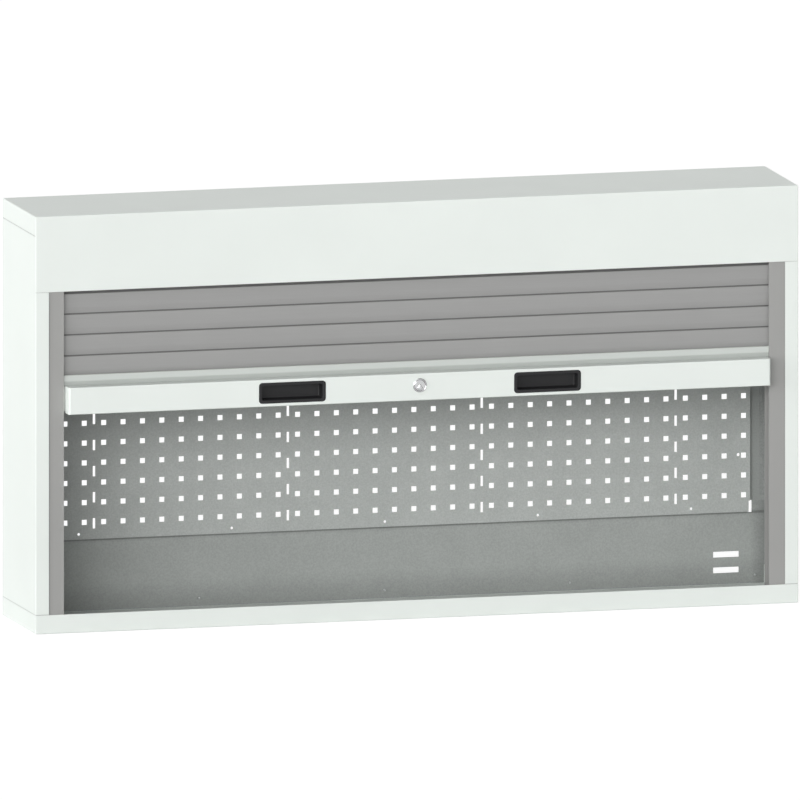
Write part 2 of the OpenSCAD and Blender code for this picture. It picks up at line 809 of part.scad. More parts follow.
// The profile that joins the curtain to the handle bar, and runs in the guides
module bottom_rail() {
    color(white) from_front() difference() {
        along_x(2 * slat_x) difference() {
            polygon([
                [bar_back, rail_bottom], [bar_back, rail_neck - rail_notch_low],
                [bar_back + rail_notch_d, rail_neck], [bar_back, rail_neck + rail_notch_high],
                [bar_back, rail_top + rail_lip_h - rail_lip_bevel],
                [bar_back + rail_lip_bevel, rail_top + rail_lip_h],
                [slat_front - running_gap, rail_top + rail_lip_h], [slat_front - running_gap, rail_top],
                [slat_front + tongue_y, rail_top], [slat_front + tongue_y, rail_top + tongue_h],
                [slat_front + tongue_y + tongue_t, rail_top + tongue_h],
                [slat_front + tongue_y + tongue_t, rail_top], [rail_back, rail_top],
                [rail_back, rail_bottom]
            ]);
            translate([bar_back + rail_wall, rail_bottom + rail_wall])
                square([
                    rail_back - bar_back - 2 * rail_wall,
                    rail_neck - rail_bottom - rail_notch_low - rail_wall
                ]);
            translate([bar_back + rail_notch_d + rail_wall, rail_neck - 2 * rail_wall])
                square([
                    rail_back - bar_back - rail_notch_d - 2 * rail_wall,
                    rail_top - rail_neck + rail_wall
                ]);
        }
        // Set back at the ends, where the rail runs in the guides
        for (side = [-1, 1]) on_side(side)
            translate([rail_x, bar_back - cut, rail_bottom - cut])
                cube([slat_x - rail_x + cut, rail_step - bar_back + cut, rail_top - rail_bottom + 5 * cut]);
        translate([0, 0, lock_z])
            along_y(bar_back - cut, bar_back + rail_wall + cut, spindle_hole_d);
        at_bar_screws()
            along_y(bar_back - cut, bar_back + rail_wall + cut, bar_screw_d + 2 * screw_gap);
    }
}

module rail_plug(side) {
    bolt_low = lock_z + (side > 0 ? bolt_rise : -bolt_rise - bolt_h);
    plug_y = rail_step + running_gap;
    plug_z = rail_bottom + rail_wall;
    color(nylon) from_front() on_side(side) difference() {
        translate([slat_x - rail_plug_l, plug_y, plug_z])
            cube([rail_plug_l, rail_back - rail_wall - plug_y, rail_top - rail_wall - plug_z]);
        translate([slat_x - rail_plug_l - cut, bolt_y - running_gap, bolt_low - running_gap])
            cube([rail_plug_l + 2 * cut, bolt_t + 2 * running_gap, bolt_h + 2 * running_gap]);
    }
}

// ---------------------------------------------------------------- lock

// Moves a shape from the lock's axis into place
module at_lock() {
    translate([0, front_y, lock_z]) children();
}

module lock_housing() {
    color(chrome) at_lock() difference() {
        union() {
            along_y(-bar_reach - lock_proud, -bar_reach, lock_d);
            along_y(-bar_reach - lock_proud / 2, -bar_reach + lock_body_l, lock_body_d);
        }
        along_y(-bar_reach - lock_proud - cut, -bar_reach + lock_body_l + cut,
            lock_plug_d + 2 * bore_gap);
    }
}

module lock_nut() {
    color(steel) at_lock() difference() {
        translate([0, -bar_reach + bar_wall, 0]) rotate([-90, 0, 0])
            cylinder(h = lock_nut_t, d = lock_nut_d, $fn = 6);
        along_y(-bar_reach, -bar_reach + bar_wall + lock_nut_t + cut, lock_body_d);
    }
}

module lock_plug() {
    face = -bar_reach - lock_proud;
    color(chrome) at_lock() difference() {
        union() {
            along_y(face, -bar_reach + lock_body_l, lock_plug_d);
            along_y(-bar_reach + lock_body_l - cut, rail_back - rail_wall - running_gap, spindle_d);
        }
        // Keyway, a round head over a narrow slot
        translate([0, 0, key_z]) along_y(face - cut, face + key_depth, key_d);
        translate([-key_w / 2, face - cut, key_z - key_drop]) cube([key_w, key_depth + cut, key_drop]);
    }
}

// One flank point of an involute tooth at a radius
function involute_angle(r, base_r) = r <= base_r ? 0 : sqrt(pow(r / base_r, 2) - 1) * 180 / PI
    - acos(base_r / r);

module lock_pinion() {
    base_r = pitch_r * cos(20);
    tip_r = pitch_r + tooth_tip;
    root_r = pitch_r - tooth_root;
    half = 90 / tooth_count - tooth_gap / pitch_r * 90 / PI;
    radii = [root_r, base_r, (base_r + pitch_r) / 2, pitch_r, (pitch_r + tip_r) / 2, tip_r];
    turn = [for (r = radii) half + involute_angle(pitch_r, base_r) - involute_angle(r, base_r)];
    last = len(radii) - 1;
    color(steel) at_lock() difference() {
        translate([0, bolt_y - 0.4, 0]) rotate([-90, 0, 0]) linear_extrude(bolt_t + 0.8) polygon([
            for (tooth = [0 : tooth_count - 1], i = [-last - 1 : last])
                let (k = last - (i < 0 ? -i - 1 : i))
                    let (a = tooth * 360 / tooth_count + (i < 0 ? -turn[k] : turn[k]))
                        radii[k] * [cos(a), sin(a)]
        ]);
        along_y(bolt_y - 2, bolt_y + bolt_t + 2, spindle_d);
    }
}

// A lock bar with a rack, on the upper side of the pinion for the right, and turned for the left
module lock_bar(side) {
    pitch = PI * tooth_module;
    half_tip = pitch / 4 - tooth_gap / 4 - tooth_root * tan(20) * 0.9;
    half_root = half_tip + 2 * tooth_root * tan(20);
    color(steel) at_lock() rotate([0, side > 0 ? 0 : 180, 0]) translate([0, bolt_y, 0]) {
        translate([-bolt_start, 0, bolt_rise]) cube([bolt_end + bolt_start, bolt_t, bolt_h]);
        for (i = [2 - rack_teeth : 2])
            translate([(i - 0.5) * pitch, bolt_t, 0]) rotate([90, 0, 0]) linear_extrude(bolt_t)
                polygon([
                    [-half_root, bolt_rise + 0.1], [-half_tip, pitch_r - rack_tip],
                    [half_tip, pitch_r - rack_tip], [half_root, bolt_rise + 0.1]
                ]);
    }
}

// ---------------------------------------------------------------- nodes

top_cover();
fascia();
cover_rear_lip();
cover_end_lips();
base_tray();
side_panel(-1);  // side_panel_left
side_panel(1);  // side_panel_right
rear_panel_lower();
perforated_panel();
hook_strip(-1);  // hook_strip_left
hook_strip(1);  // hook_strip_right
guide_rail(-1);  // guide_rail_left
guide_rail(1);  // guide_rail_right
guide_faces();
guide_studs();
top_stops();
rear_screws();
lock_keeper(-1);  // lock_keeper_left
lock_keeper(1);  // lock_keeper_right
barrel_bracket(-1);  // barrel_bracket_left
barrel_bracket(1);  // barrel_bracket_right
bracket_nuts();
barrel_shaft();
spring_anchors();
torsion_spring(-1);  // torsion_spring_left
torsion_spring(1);  // torsion_spring_right
barrel_tube();
barrel_plug(-1);  // barrel_plug_left
barrel_plug(1);  // barrel_plug_right
wound_slats();
handle_bar();
bar_cap(-1);  // bar_cap_left
bar_cap(1);  // bar_cap_right
bar_seal();
bar_screws();
bottom_rail();
rail_plug(-1);  // rail_plug_left
rail_plug(1);  // rail_plug_right
grip(-1);  // grip_left
grip(1);  // grip_right
for (i = [1 : slats_front])
    slat(rail_top + (i - 1) * slat_pitch, 0);
for (i = [1 : slats_behind])
    slat(middle_bottom + (i - 1) * slat_pitch, 1);
for (i = [1 : slats_behind])
    slat(upper_bottom + (i - 1) * slat_pitch, 2);
lock_housing();
lock_nut();
lock_plug();
lock_pinion();
lock_bar(-1);  // lock_bar_left
lock_bar(1);  // lock_bar_right
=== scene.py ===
"""Roll front tool cabinet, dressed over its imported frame.

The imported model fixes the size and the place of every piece. This script gives each piece the
finish of the real one, and builds in full the pieces that the frame holds only in outline: the
slats, the grips, the lock, the springs, the seal and the small hardware. Lengths are in metres,
X runs to the right, Y from front to back and Z up.
"""

import logging
import math
from dataclasses import dataclass, field, replace
from enum import Enum, IntEnum

import bmesh
import bpy
from mathutils import Matrix, Vector
from mathutils.geometry import tessellate_polygon


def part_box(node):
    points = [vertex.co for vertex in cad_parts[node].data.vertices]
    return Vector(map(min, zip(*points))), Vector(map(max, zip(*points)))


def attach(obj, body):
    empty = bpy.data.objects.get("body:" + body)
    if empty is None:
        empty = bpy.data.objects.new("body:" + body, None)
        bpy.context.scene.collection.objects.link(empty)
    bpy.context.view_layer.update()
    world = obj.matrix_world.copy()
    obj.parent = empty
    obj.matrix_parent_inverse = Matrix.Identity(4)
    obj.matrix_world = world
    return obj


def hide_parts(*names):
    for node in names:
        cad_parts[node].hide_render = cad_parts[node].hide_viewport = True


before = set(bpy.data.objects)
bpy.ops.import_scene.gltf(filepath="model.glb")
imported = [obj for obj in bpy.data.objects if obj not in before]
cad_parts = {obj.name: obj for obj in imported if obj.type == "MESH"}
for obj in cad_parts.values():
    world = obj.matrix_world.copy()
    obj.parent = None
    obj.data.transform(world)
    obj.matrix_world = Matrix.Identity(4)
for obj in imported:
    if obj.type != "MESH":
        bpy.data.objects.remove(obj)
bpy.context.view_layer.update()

LOG = logging.getLogger("cabinet")
MM = 0.001

Colour = tuple[float, float, float]
Socket = bpy.types.NodeSocket
Piece = bpy.types.Object


class Body(Enum):
    """The bodies that a piece can ride on."""

    CABINET = "cabinet"
    BARREL = "barrel"
    SHUTTER = "shutter"
    MIDDLE_SLATS = "middle_slats"
    UPPER_SLATS = "upper_slats"
    LOCK_CORE = "lock_core"


class Slot(Enum):
    """The record's material slots that the finishes belong to."""

    CASE_PAINT = "case_paint"
    BACK_PAINT = "back_paint"
    GUIDE_PAINT = "guide_paint"
    SLAT = "slat"
    ZINC_STEEL = "zinc_steel"
    CHROME = "chrome"
    BLACK_PLASTIC = "black_plastic"
    NYLON = "nylon"
    RUBBER = "rubber"


class Side(IntEnum):
    """The left and the right of the cabinet, as the sign of X."""

    LEFT = -1
    RIGHT = 1

    @property
    def word(self) -> str:
        """The side's name as the frame's nodes spell it."""
        return self.name.lower()


# ---------------------------------------------------------------- camera


@dataclass(frozen=True)
class Viewpoint:
    """The parallel camera at the photograph's angle."""

    azimuth: float = math.radians(-15.0)
    elevation: float = math.radians(9.0)
    width: float = 1.5145
    aim: tuple[float, float, float] = (-0.0039, 0.0, 0.4024)
    distance: float = 6.0

    def build(self) -> bpy.types.Object:
        """Makes the camera and gives it to the scene.

        Returns:
            The camera object.
        """
        data = bpy.data.cameras.new("front_camera")
        data.type = "ORTHO"
        data.ortho_scale = self.width
        camera = bpy.data.objects.new("front_camera", data)
        level = math.cos(self.elevation)
        back = Vector((
            math.sin(self.azimuth) * level,
            -math.cos(self.azimuth) * level,
            math.sin(self.elevation),
        ))
        camera.location = Vector(self.aim) + back * self.distance
        camera.rotation_mode = "QUATERNION"
        camera.rotation_quaternion = (-back).to_track_quat("-Z", "Y")
        bpy.context.scene.collection.objects.link(camera)
        bpy.context.scene.camera = camera
        return camera


# ---------------------------------------------------------------- finishes


class NodeSheet:
    """A material's node tree with a surface shader that waits to be fed."""

    def __init__(self, name: str) -> None:
        """Makes the material.

        Args:
            name: The material's name.
        """
        self.material = bpy.data.materials.new(name)
        self.material.use_nodes = True
        self.nodes = self.material.node_tree.nodes
        self.links = self.material.node_tree.links
        self.surface = self.nodes["Principled BSDF"]
        self.coordinates = self.nodes.new("ShaderNodeTexCoord")
        self.place = self.coordinates.outputs["Object"]

    def set(self, **values: float | Colour) -> None:
        """Sets plain values on the surface shader.

        Args:
            values: Socket names with underscores for spaces, and their values.
        """
        for key, value in values.items():
            socket = self.surface.inputs[key.replace("_", " ")]
            socket.default_value = (*value, 1.0) if isinstance(value, tuple) else value

    def along(self, axis: str) -> Socket:
        """The place along one axis, "X", "Y" or "Z"."""
        split = self.nodes.new("ShaderNodeSeparateXYZ")
        self.links.new(self.place, split.inputs["Vector"])
        return split.outputs[axis]

    def stretched(self, stretch: Colour) -> Socket:
        """Scales the place by a factor for each axis.

        Args:
            stretch: The factors along X, Y and Z.

        Returns:
            The scaled place.
        """
        mapping = self.nodes.new("ShaderNodeMapping")
        mapping.inputs["Scale"].default_value = stretch
        self.links.new(self.place, mapping.inputs["Vector"])
        return mapping.outputs["Vector"]

    def noise(self, feature: float, detail: float = 2.0, stretch: Colour = (1.0, 1.0, 1.0)) -> Socket:
        """A soft random field.

        Args:
            feature: The size of one blot, in metres.
            detail: How many finer layers lie on it.
            stretch: The factors that the place is scaled by first.

        Returns:
            The field, from 0 to 1 around a half.
        """
        texture = self.nodes.new("ShaderNodeTexNoise")
        texture.inputs["Scale"].default_value = 1.0 / feature
        texture.inputs["Detail"].default_value = detail
        self.links.new(self.stretched(stretch), texture.inputs["Vector"])
        return texture.outputs["Fac"]

    def ramp(self, source: Socket, given: tuple[float, float], wanted: tuple[float, float]) -> Socket:
        """Maps one range of a field onto another, held at its ends.

        Args:
            source: The field.
            given: The two ends of its range.
            wanted: The values at those ends.

        Returns:
            The mapped field.
        """
        node = self.nodes.new("ShaderNodeMapRange")
        node.inputs["From Min"].default_value, node.inputs["From Max"].default_value = given
        node.inputs["To Min"].default_value, node.inputs["To Max"].default_value = wanted
        self.links.new(source, node.inputs["Value"])
        return node.outputs["Result"]

    def span(self, source: Socket, low: float, high: float) -> Socket:
        """Maps the middle of a field onto a range.

        Args:
            source: The field.
            low: The value at 0.3.
            high: The value at 0.7.

        Returns:
            The mapped field.
        """
        return self.ramp(source, (0.3, 0.7), (low, high))

    def tone(self, colour: Colour, shade: Socket) -> Socket:
        """Multiplies a colour by a field.

        Args:
            colour: The colour.
            shade: The field, around 1.

        Returns:
            The shaded colour.
        """
        scale = self.nodes.new("ShaderNodeVectorMath")
        scale.operation = "SCALE"
        scale.inputs[0].default_value = colour
        self.links.new(shade, scale.inputs["Scale"])
        return scale.outputs["Vector"]

    def product(self, first: Socket, second: Socket) -> Socket:
        """Multiplies two fields.

        Args:
            first: One field.
            second: The other field.

        Returns:
            Their product.
        """
        return self.reckon("MULTIPLY", first, second)

    def reckon(self, operation: str, first: Socket, second: Socket | float) -> Socket:
        """Joins two fields by a plain operation of the math node.

        Args:
            operation: The operation's name.
            first: One field.
            second: The other field, or a plain number.

        Returns:
            The result.
        """
        node = self.nodes.new("ShaderNodeMath")
        node.operation = operation
        self.links.new(first, node.inputs[0])
        if isinstance(second, float):
            node.inputs[1].default_value = second
        else:
            self.links.new(second, node.inputs[1])
        return node.outputs["Value"]

    def band(self, shade: "ShadeBand") -> Socket:
        """Darkens a level band with painted shade, with soft edges.

        Args:
            shade: The band.

        Returns:
            A field that is the tone in the band and 1 away from it.
        """
        above = self.reckon("SUBTRACT", self.along("Z"), shade.height)
        away = self.reckon("ABSOLUTE", above, 0.0)
        core, rim = (1.0 - shade.softness) * shade.half, (1.0 + shade.softness) * shade.half
        return self.ramp(away, (core, rim), (shade.tone, 1.0))

    def outward(self, shade: "ShadeEnds") -> Socket:
        """Darkens the sheet towards both of its ends, as painted shade for the corners of the case.

        Args:
            shade: Where the tone begins and ends.

        Returns:
            A field that is 1 in the middle and the tone at the ends.
        """
        away = self.reckon("ABSOLUTE", self.along("X"), 0.0)
        return self.ramp(away, (shade.start, shade.end), (1.0, shade.tone))

    def painted_reflection(self, reflection: "Glint") -> Socket:
        """Paints a reflection's tone where the surface leans one way.

        Args:
            reflection: The painted arc's direction and tone.

        Returns:
            A field that is 1 away from the direction and the tone towards it.
        """
        dot = self.nodes.new("ShaderNodeVectorMath")
        dot.operation = "DOT_PRODUCT"
        self.links.new(self.coordinates.outputs["Normal"], dot.inputs[0])
        dot.inputs[1].default_value = reflection.lean
        return self.ramp(dot.outputs["Value"], (reflection.start, reflection.full), (1.0, reflection.tone))

    def mix(self, share: Socket, first: Socket, second: Socket) -> Socket:
        """Mixes two colours.

        Args:
            share: How much of the second shows.
            first: One colour.
            second: The other colour.

        Returns:
            The mixed colour.
        """
        node = self.nodes.new("ShaderNodeMix")
        node.data_type = "RGBA"
        sockets = {socket.name: socket for socket in node.inputs if socket.enabled}
        self.links.new(share, sockets["Factor"])
        self.links.new(first, sockets["A"])
        self.links.new(second, sockets["B"])
        return next(socket for socket in node.outputs if socket.enabled)

    def feed(self, name: str, source: Socket) -> None:
        """Feeds a socket of the surface shader.

        Args:
            name: The socket's name.
            source: What feeds it.
        """
        self.links.new(source, self.surface.inputs[name])

    def relief(self, height: Socket, depth: float, strength: float = 1.0) -> None:
        """Gives the surface a fine relief.

        Args:
            height: The relief's field.
            depth: The height of its full range, in metres.
            strength: How much of it shows.
        """
        bump = self.nodes.new("ShaderNodeBump")
        bump.inputs["Distance"].default_value = depth
        bump.inputs["Strength"].default_value = strength
        self.links.new(height, bump.inputs["Height"])
        self.feed("Normal", bump.outputs["Normal"])


@dataclass(frozen=True)
class ShadeBand:
    """A level band of painted shade: its height, half its width and its tone."""

    height: float
    half: float
    tone: float
    softness: float = 0.3


@dataclass(frozen=True)
class ShadeEnds:
    """Soft shade towards both ends: where it begins, where it is full, and its tone."""

    start: float
    end: float
    tone: float


@dataclass(frozen=True)
class Glint:
    """A painted reflection: a bright or dark arc as on a curved mirror, with its direction, the cosines it
    grows over, its tone.
    """

    lean: Colour
    start: float
    full: float
    tone: float


@dataclass(frozen=True)
class Finish:
    """What every finish has: its name, its slot, its colour and how rough it is."""

    name: str
    slot: Slot
    colour: Colour
    roughness: float

    def material(self) -> bpy.types.Material:
        """Finds the finish's material, or makes it at the first call.

        Returns:
            The material.
        """
        made = bpy.data.materials.get(self.name)
        if made is not None:
            return made
        sheet = NodeSheet(self.name)
        sheet.set(Base_Color=self.colour, Roughness=self.roughness)
        self.draw(sheet)
        sheet.material.diffuse_color = (*self.colour, 1.0)
        return sheet.material

    def draw(self, sheet: NodeSheet) -> None:
        """Adds what is special to the finish. Each kind of finish has its own.

        Args:
            sheet: The material's nodes.
        """
        raise NotImplementedError(self.name)


@dataclass(frozen=True)
class PowderCoat(Finish):
    """Baked powder paint: a fine orange-peel relief, and a tone that wanders very little."""

    peel: float = 1.4 * MM
    peel_depth: float = 0.02 * MM
    wander: float = 0.012
    cloud: float = 0.16
    speckle: float = 0.0
    speckle_size: float = 3.0 * MM
    sheen: float = 0.2
    clear: float = 0.0
    gloss_wander: float = 0.04
    # Painted shade: level bands, and darkening towards both ends of the sheet.
    bands: tuple[ShadeBand, ...] = ()
    corners: tuple[ShadeEnds, ...] = ()

    def draw(self, sheet: NodeSheet) -> None:
        """Adds the peel, the cloudy tone, and any speckle, painted shade bands and painted shade towards the
        ends.

        Args:
            sheet: The material's nodes.
        """
        sheet.set(Specular_IOR_Level=self.sheen, Coat_Weight=self.clear, Coat_Roughness=0.06)
        shade = sheet.span(sheet.noise(self.cloud, 3.0), 1.0 - self.wander, 1.0 + self.wander)
        if self.speckle > 0.0:
            grain = sheet.noise(self.speckle_size, 3.0)
            shade = sheet.product(shade, sheet.span(grain, 1.0 - self.speckle, 1.0 + self.speckle))
        for band in self.bands:
            shade = sheet.product(shade, sheet.band(band))
        for ends in self.corners:
            shade = sheet.product(shade, sheet.outward(ends))
        sheet.feed("Base Color", sheet.tone(self.colour, shade))
        gloss = sheet.noise(self.cloud / 4.0, 2.0)
        low, high = self.roughness - self.gloss_wander, self.roughness + self.gloss_wander
        sheet.feed("Roughness", sheet.span(gloss, low, high))
        sheet.relief(sheet.noise(self.peel, 1.0), self.peel_depth, 0.6)


@dataclass(frozen=True)
class TwoSidedCoat(PowderCoat):
    """Powder paint on the outside of a sheet and a grey backing coat on its inside.

    The two meet at the middle of the sheet, so each is told from the other by its place.
    """

    backing: Colour = (0.40, 0.42, 0.41)
    backing_speckle: float = 0.06
    shell_low: Colour = (-1.0, -1.0, -1.0)
    shell_high: Colour = (1.0, 1.0, 1.0)

    def outside(self, sheet: NodeSheet) -> Socket:
        """Tells the sheet's outside from its inside.

        Args:
            sheet: The material's nodes.

        Returns:
            A field that is 1 outside the middle of the sheets and 0 inside it.
        """
        outside = None
        for axis, low, high in zip("XYZ", self.shell_low, self.shell_high):
            for limit, operation in ((low, "LESS_THAN"), (high, "GREATER_THAN")):
                beyond = sheet.reckon(operation, sheet.along(axis), limit)
                outside = beyond if outside is None else sheet.reckon("MAXIMUM", outside, beyond)
        return outside

    def draw(self, sheet: NodeSheet) -> None:
        """Adds the coat's looks and the backing colour on the inside.

        Args:
            sheet: The material's nodes.
        """
        super().draw(sheet)
        front = sheet.surface.inputs["Base Color"].links[0].from_socket
        shade = sheet.noise(self.speckle_size, 3.0)
        speckle = self.backing_speckle
        back = sheet.tone(self.backing, sheet.span(shade, 1.0 - speckle, 1.0 + speckle))
        sheet.feed("Base Color", sheet.mix(self.outside(sheet), back, front))


@dataclass(frozen=True)
class CoatedSlat(Finish):
    """Grey coil coating with faint roll lines along the slat, and painted shade in the joints between the
    slats.
    """

    front: float = 0.0
    step: float = 7.8 * MM
    recess: tuple[float, float] = (0.38, 0.80)
    recess_edge: float = 0.02
    # The tone of the painted shade on the tongues, in the joints between the slats.
    gap_shade: float = 0.4
    cloud: float = 80.0 * MM
    line: float = 0.9 * MM
    line_stretch: float = 160.0
    wander: float = 0.02
    line_depth: float = 0.015 * MM

    def gap_shaded(self, sheet: NodeSheet) -> Socket:
        """Darkens the tongues, which lie behind the fronts of the slats in every plane, as painted shade in
        the joints.

        Args:
            sheet: The material's nodes.

        Returns:
            A field that is 1 on the fronts and the backs, and the painted shade's tone between them.
        """
        behind = sheet.reckon("SUBTRACT", sheet.along("Y"), self.front)
        share = sheet.reckon("FRACT", sheet.reckon("DIVIDE", behind, self.step), 0.0)
        low, high = self.recess
        edge = self.recess_edge
        deep = sheet.ramp(share, (low - edge, low + edge), (1.0, self.gap_shade))
        back = sheet.ramp(share, (high - edge, high + edge), (self.gap_shade, 1.0))
        return sheet.reckon("MAXIMUM", deep, back)

    def draw(self, sheet: NodeSheet) -> None:
        """Adds the roll lines to the tone, the gloss and the relief, and the painted shade between the
        slats.

        Args:
            sheet: The material's nodes.
        """
        along = (1.0 / self.line_stretch, 1.0, 1.0)
        lines = sheet.noise(self.line, 2.0, along)
        cloud = sheet.noise(self.cloud, 2.0)
        shade = sheet.product(
            sheet.span(lines, 1.0 - self.wander, 1.0 + self.wander),
            sheet.span(cloud, 1.0 - self.wander / 2.0, 1.0 + self.wander / 2.0),
        )
        shade = sheet.product(shade, self.gap_shaded(sheet))
        sheet.feed("Base Color", sheet.tone(self.colour, shade))
        sheet.feed("Roughness", sheet.span(lines, self.roughness - 0.05, self.roughness + 0.05))
        sheet.relief(lines, self.line_depth, 0.5)


@dataclass(frozen=True)
class ZincPlate(Finish):
    """Zinc-plated steel: fine drawn lines and a clouded sheen."""

    line: float = 0.5 * MM
    stretch: Colour = (0.06, 1.0, 1.0)
    cloud: float = 12.0 * MM
    metal: float = 0.9

    def draw(self, sheet: NodeSheet) -> None:
        """Adds the drawn lines and the clouding.

        Args:
            sheet: The material's nodes.
        """
        sheet.set(Metallic=self.metal)
        lines = sheet.noise(self.line, 2.0, self.stretch)
        cloud = sheet.noise(self.cloud, 3.0)
        shade = sheet.product(sheet.span(lines, 0.95, 1.05), sheet.span(cloud, 0.92, 1.06))
        sheet.feed("Base Color", sheet.tone(self.colour, shade))
        sheet.feed("Roughness", sheet.span(cloud, self.roughness - 0.08, self.roughness + 0.1))
        sheet.relief(lines, 0.01 * MM, 0.5)


@dataclass(frozen=True)
class ChromePlate(Finish):
    """Polished chrome with a trace of handling, and painted reflections: dark and bright arcs as on a curved
    mirror, set by the way the surface leans.
    """

    smudge: float = 2.5 * MM
    # Painted reflections: bright towards the upper left, darker towards the lower right, dark towards the
    # upper right and the lower left.
    painted_reflections: tuple[Glint, ...] = (
        Glint((-0.92, 0.0, 0.40), 0.20, 0.50, 1.35),
        Glint((0.92, 0.0, -0.40), 0.20, 0.55, 0.27),
        Glint((0.50, 0.0, 0.87), 0.52, 0.66, 0.08),
        Glint((-0.62, 0.0, -0.78), 0.52, 0.66, 0.08),
    )

    def draw(self, sheet: NodeSheet) -> None:
        """Adds the smudges, and the painted reflections to the colour and the edge tint.

        Args:
            sheet: The material's nodes.
        """
        sheet.set(Metallic=1.0)
        smudge = sheet.noise(self.smudge, 4.0)
        shade = sheet.span(smudge, 0.97, 1.02)
        # Each painted reflection brightens or darkens the colour and the edge tint by the way the surface
        # leans.
        for reflection in self.painted_reflections:
            shade = sheet.product(shade, sheet.painted_reflection(reflection))
        sheet.feed("Base Color", sheet.tone(self.colour, shade))
        sheet.feed("Specular Tint", sheet.tone((1.0, 1.0, 1.0), shade))
        sheet.feed("Roughness", sheet.span(smudge, self.roughness, self.roughness + 0.08))
        sheet.relief(smudge, 0.004 * MM, 0.3)


@dataclass(frozen=True)
class MouldedPlastic(Finish):
    """Injection-moulded plastic with an eroded grain."""

    grain: float = 0.7 * MM
    grain_depth: float = 0.04 * MM
    cloud: float = 20.0 * MM
    wander: float = 0.08
    sheen: float = 0.5
    milky: float = 0.0

    def draw(self, sheet: NodeSheet) -> None:
        """Adds the grain, the tone and, for natural nylon, the milky depth.

        Args:
            sheet: The material's nodes.
        """
        sheet.set(Specular_IOR_Level=self.sheen)
        grain = sheet.noise(self.grain, 3.0)
        cloud = sheet.noise(self.cloud, 2.0)
        shade = sheet.product(
            sheet.span(grain, 1.0 - self.wander, 1.0 + self.wander),
            sheet.span(cloud, 1.0 - self.wander / 2.0, 1.0 + self.wander / 2.0),
        )
        sheet.feed("Base Color", sheet.tone(self.colour, shade))
        sheet.feed("Roughness", sheet.span(grain, self.roughness - 0.05, self.roughness + 0.07))
        sheet.relief(grain, self.grain_depth, 0.6)
        if self.milky > 0.0:
            sheet.set(Subsurface_Weight=self.milky, Subsurface_Scale=2.0 * MM)


@dataclass(frozen=True)
class Rubber(Finish):
    """Matt black rubber with a powdery bloom."""

    bloom: float = 4.0 * MM

    def draw(self, sheet: NodeSheet) -> None:
        """Adds the bloom and a soft grain.

        Args:
            sheet: The material's nodes.
        """
        bloom = sheet.noise(self.bloom, 4.0)
        sheet.feed("Base Color", sheet.tone(self.colour, sheet.span(bloom, 0.8, 1.35)))
        sheet.feed("Roughness", sheet.span(bloom, self.roughness - 0.06, self.roughness + 0.08))
        sheet.relief(sheet.noise(0.5 * MM, 2.0), 0.02 * MM, 0.6)


LIGHT_GREY = (0.83, 0.875, 0.84)
BACK_GREY = (0.45, 0.47, 0.455)
PANEL_GREY = (0.37, 0.387, 0.374)
WALL_GREY = (0.335, 0.350, 0.339)
STRIP_GREY = (0.31, 0.324, 0.314)
FLOOR_GREY = (0.76, 0.80, 0.77)


def skin_limits() -> tuple[Colour, Colour]:
    """Finds the middle of the case's outer sheets.

    Returns:
        The lowest and the highest place that count as inside.
    """
    half_sheet = 0.6 * MM
    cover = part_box("top_cover")
    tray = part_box("base_tray")
    inset = Vector((half_sheet, half_sheet, half_sheet))
    low = Vector((cover[0].x, cover[0].y, tray[0].z)) + inset
    high = cover[1] - inset
    return tuple(low), tuple(high)


def seam_bands() -> tuple[ShadeBand, ...]:
    """Finds the seams at the upper and the lower edge of the side panels.

    Returns:
        The painted shade line in each seam.
    """
    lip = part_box("cover_end_lips")[0].z
    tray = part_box("base_tray")[1].z
    half_gap = 0.3 * MM
    return (ShadeBand(lip - half_gap, 1.2 * MM, 0.81), ShadeBand(tray + half_gap, 1.2 * MM, 0.76))


def neck_band() -> ShadeBand:
    """Finds the neck of the bottom rail, just above the handle bar, and returns a painted shade band for it.
    """
    return ShadeBand(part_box("handle_bar")[1].z + 3.0 * MM, 5.0 * MM, 0.84)


def shade_under(edge: float) -> tuple[ShadeBand, ...]:
    """Draws a painted shadow line and its soft rim below an edge that stands in front of a sheet.

    Args:
        edge: The height of the edge.

    Returns:
        The bands.
    """
    return (ShadeBand(edge - 1.5 * MM, 2.4 * MM, 0.66), ShadeBand(edge - 2.0 * MM, 6.0 * MM, 0.93))


CASE_PAINT = PowderCoat("case_paint_coat", Slot.CASE_PAINT, LIGHT_GREY, 0.5)
# The bar's paint carries a painted shadow line along its top edge, under the rail.
BAR_PAINT = replace(
    CASE_PAINT, name="bar_paint_coat", bands=(ShadeBand(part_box("handle_bar")[1].z, 0.6 * MM, 0.74),),
)
CASE_SHEET = TwoSidedCoat(
    "case_sheet_coat", Slot.CASE_PAINT, LIGHT_GREY, 0.5,
    backing=WALL_GREY, shell_low=skin_limits()[0], shell_high=skin_limits()[1],
)
# The side panels carry painted shade lines in the seams at their upper and lower edges.
SIDE_SHEET = replace(CASE_SHEET, name="side_sheet_coat", bands=seam_bands())
TRAY_SHEET = replace(CASE_SHEET, name="tray_sheet_coat", backing=FLOOR_GREY)
# The rail's colour is the case's light grey darkened as painted shade, with a painted shade band at its
# neck.
RAIL_SHADED_PAINT = PowderCoat("rail_shaded_coat", Slot.CASE_PAINT, (0.61, 0.64, 0.615), 0.5, bands=(neck_band(),))
BACK_PAINT = PowderCoat(
    "back_paint_coat", Slot.BACK_PAINT, BACK_GREY, 0.55,
    peel=0.9 * MM, wander=0.03, cloud=0.05, speckle=0.09, speckle_size=3.0 * MM,
)
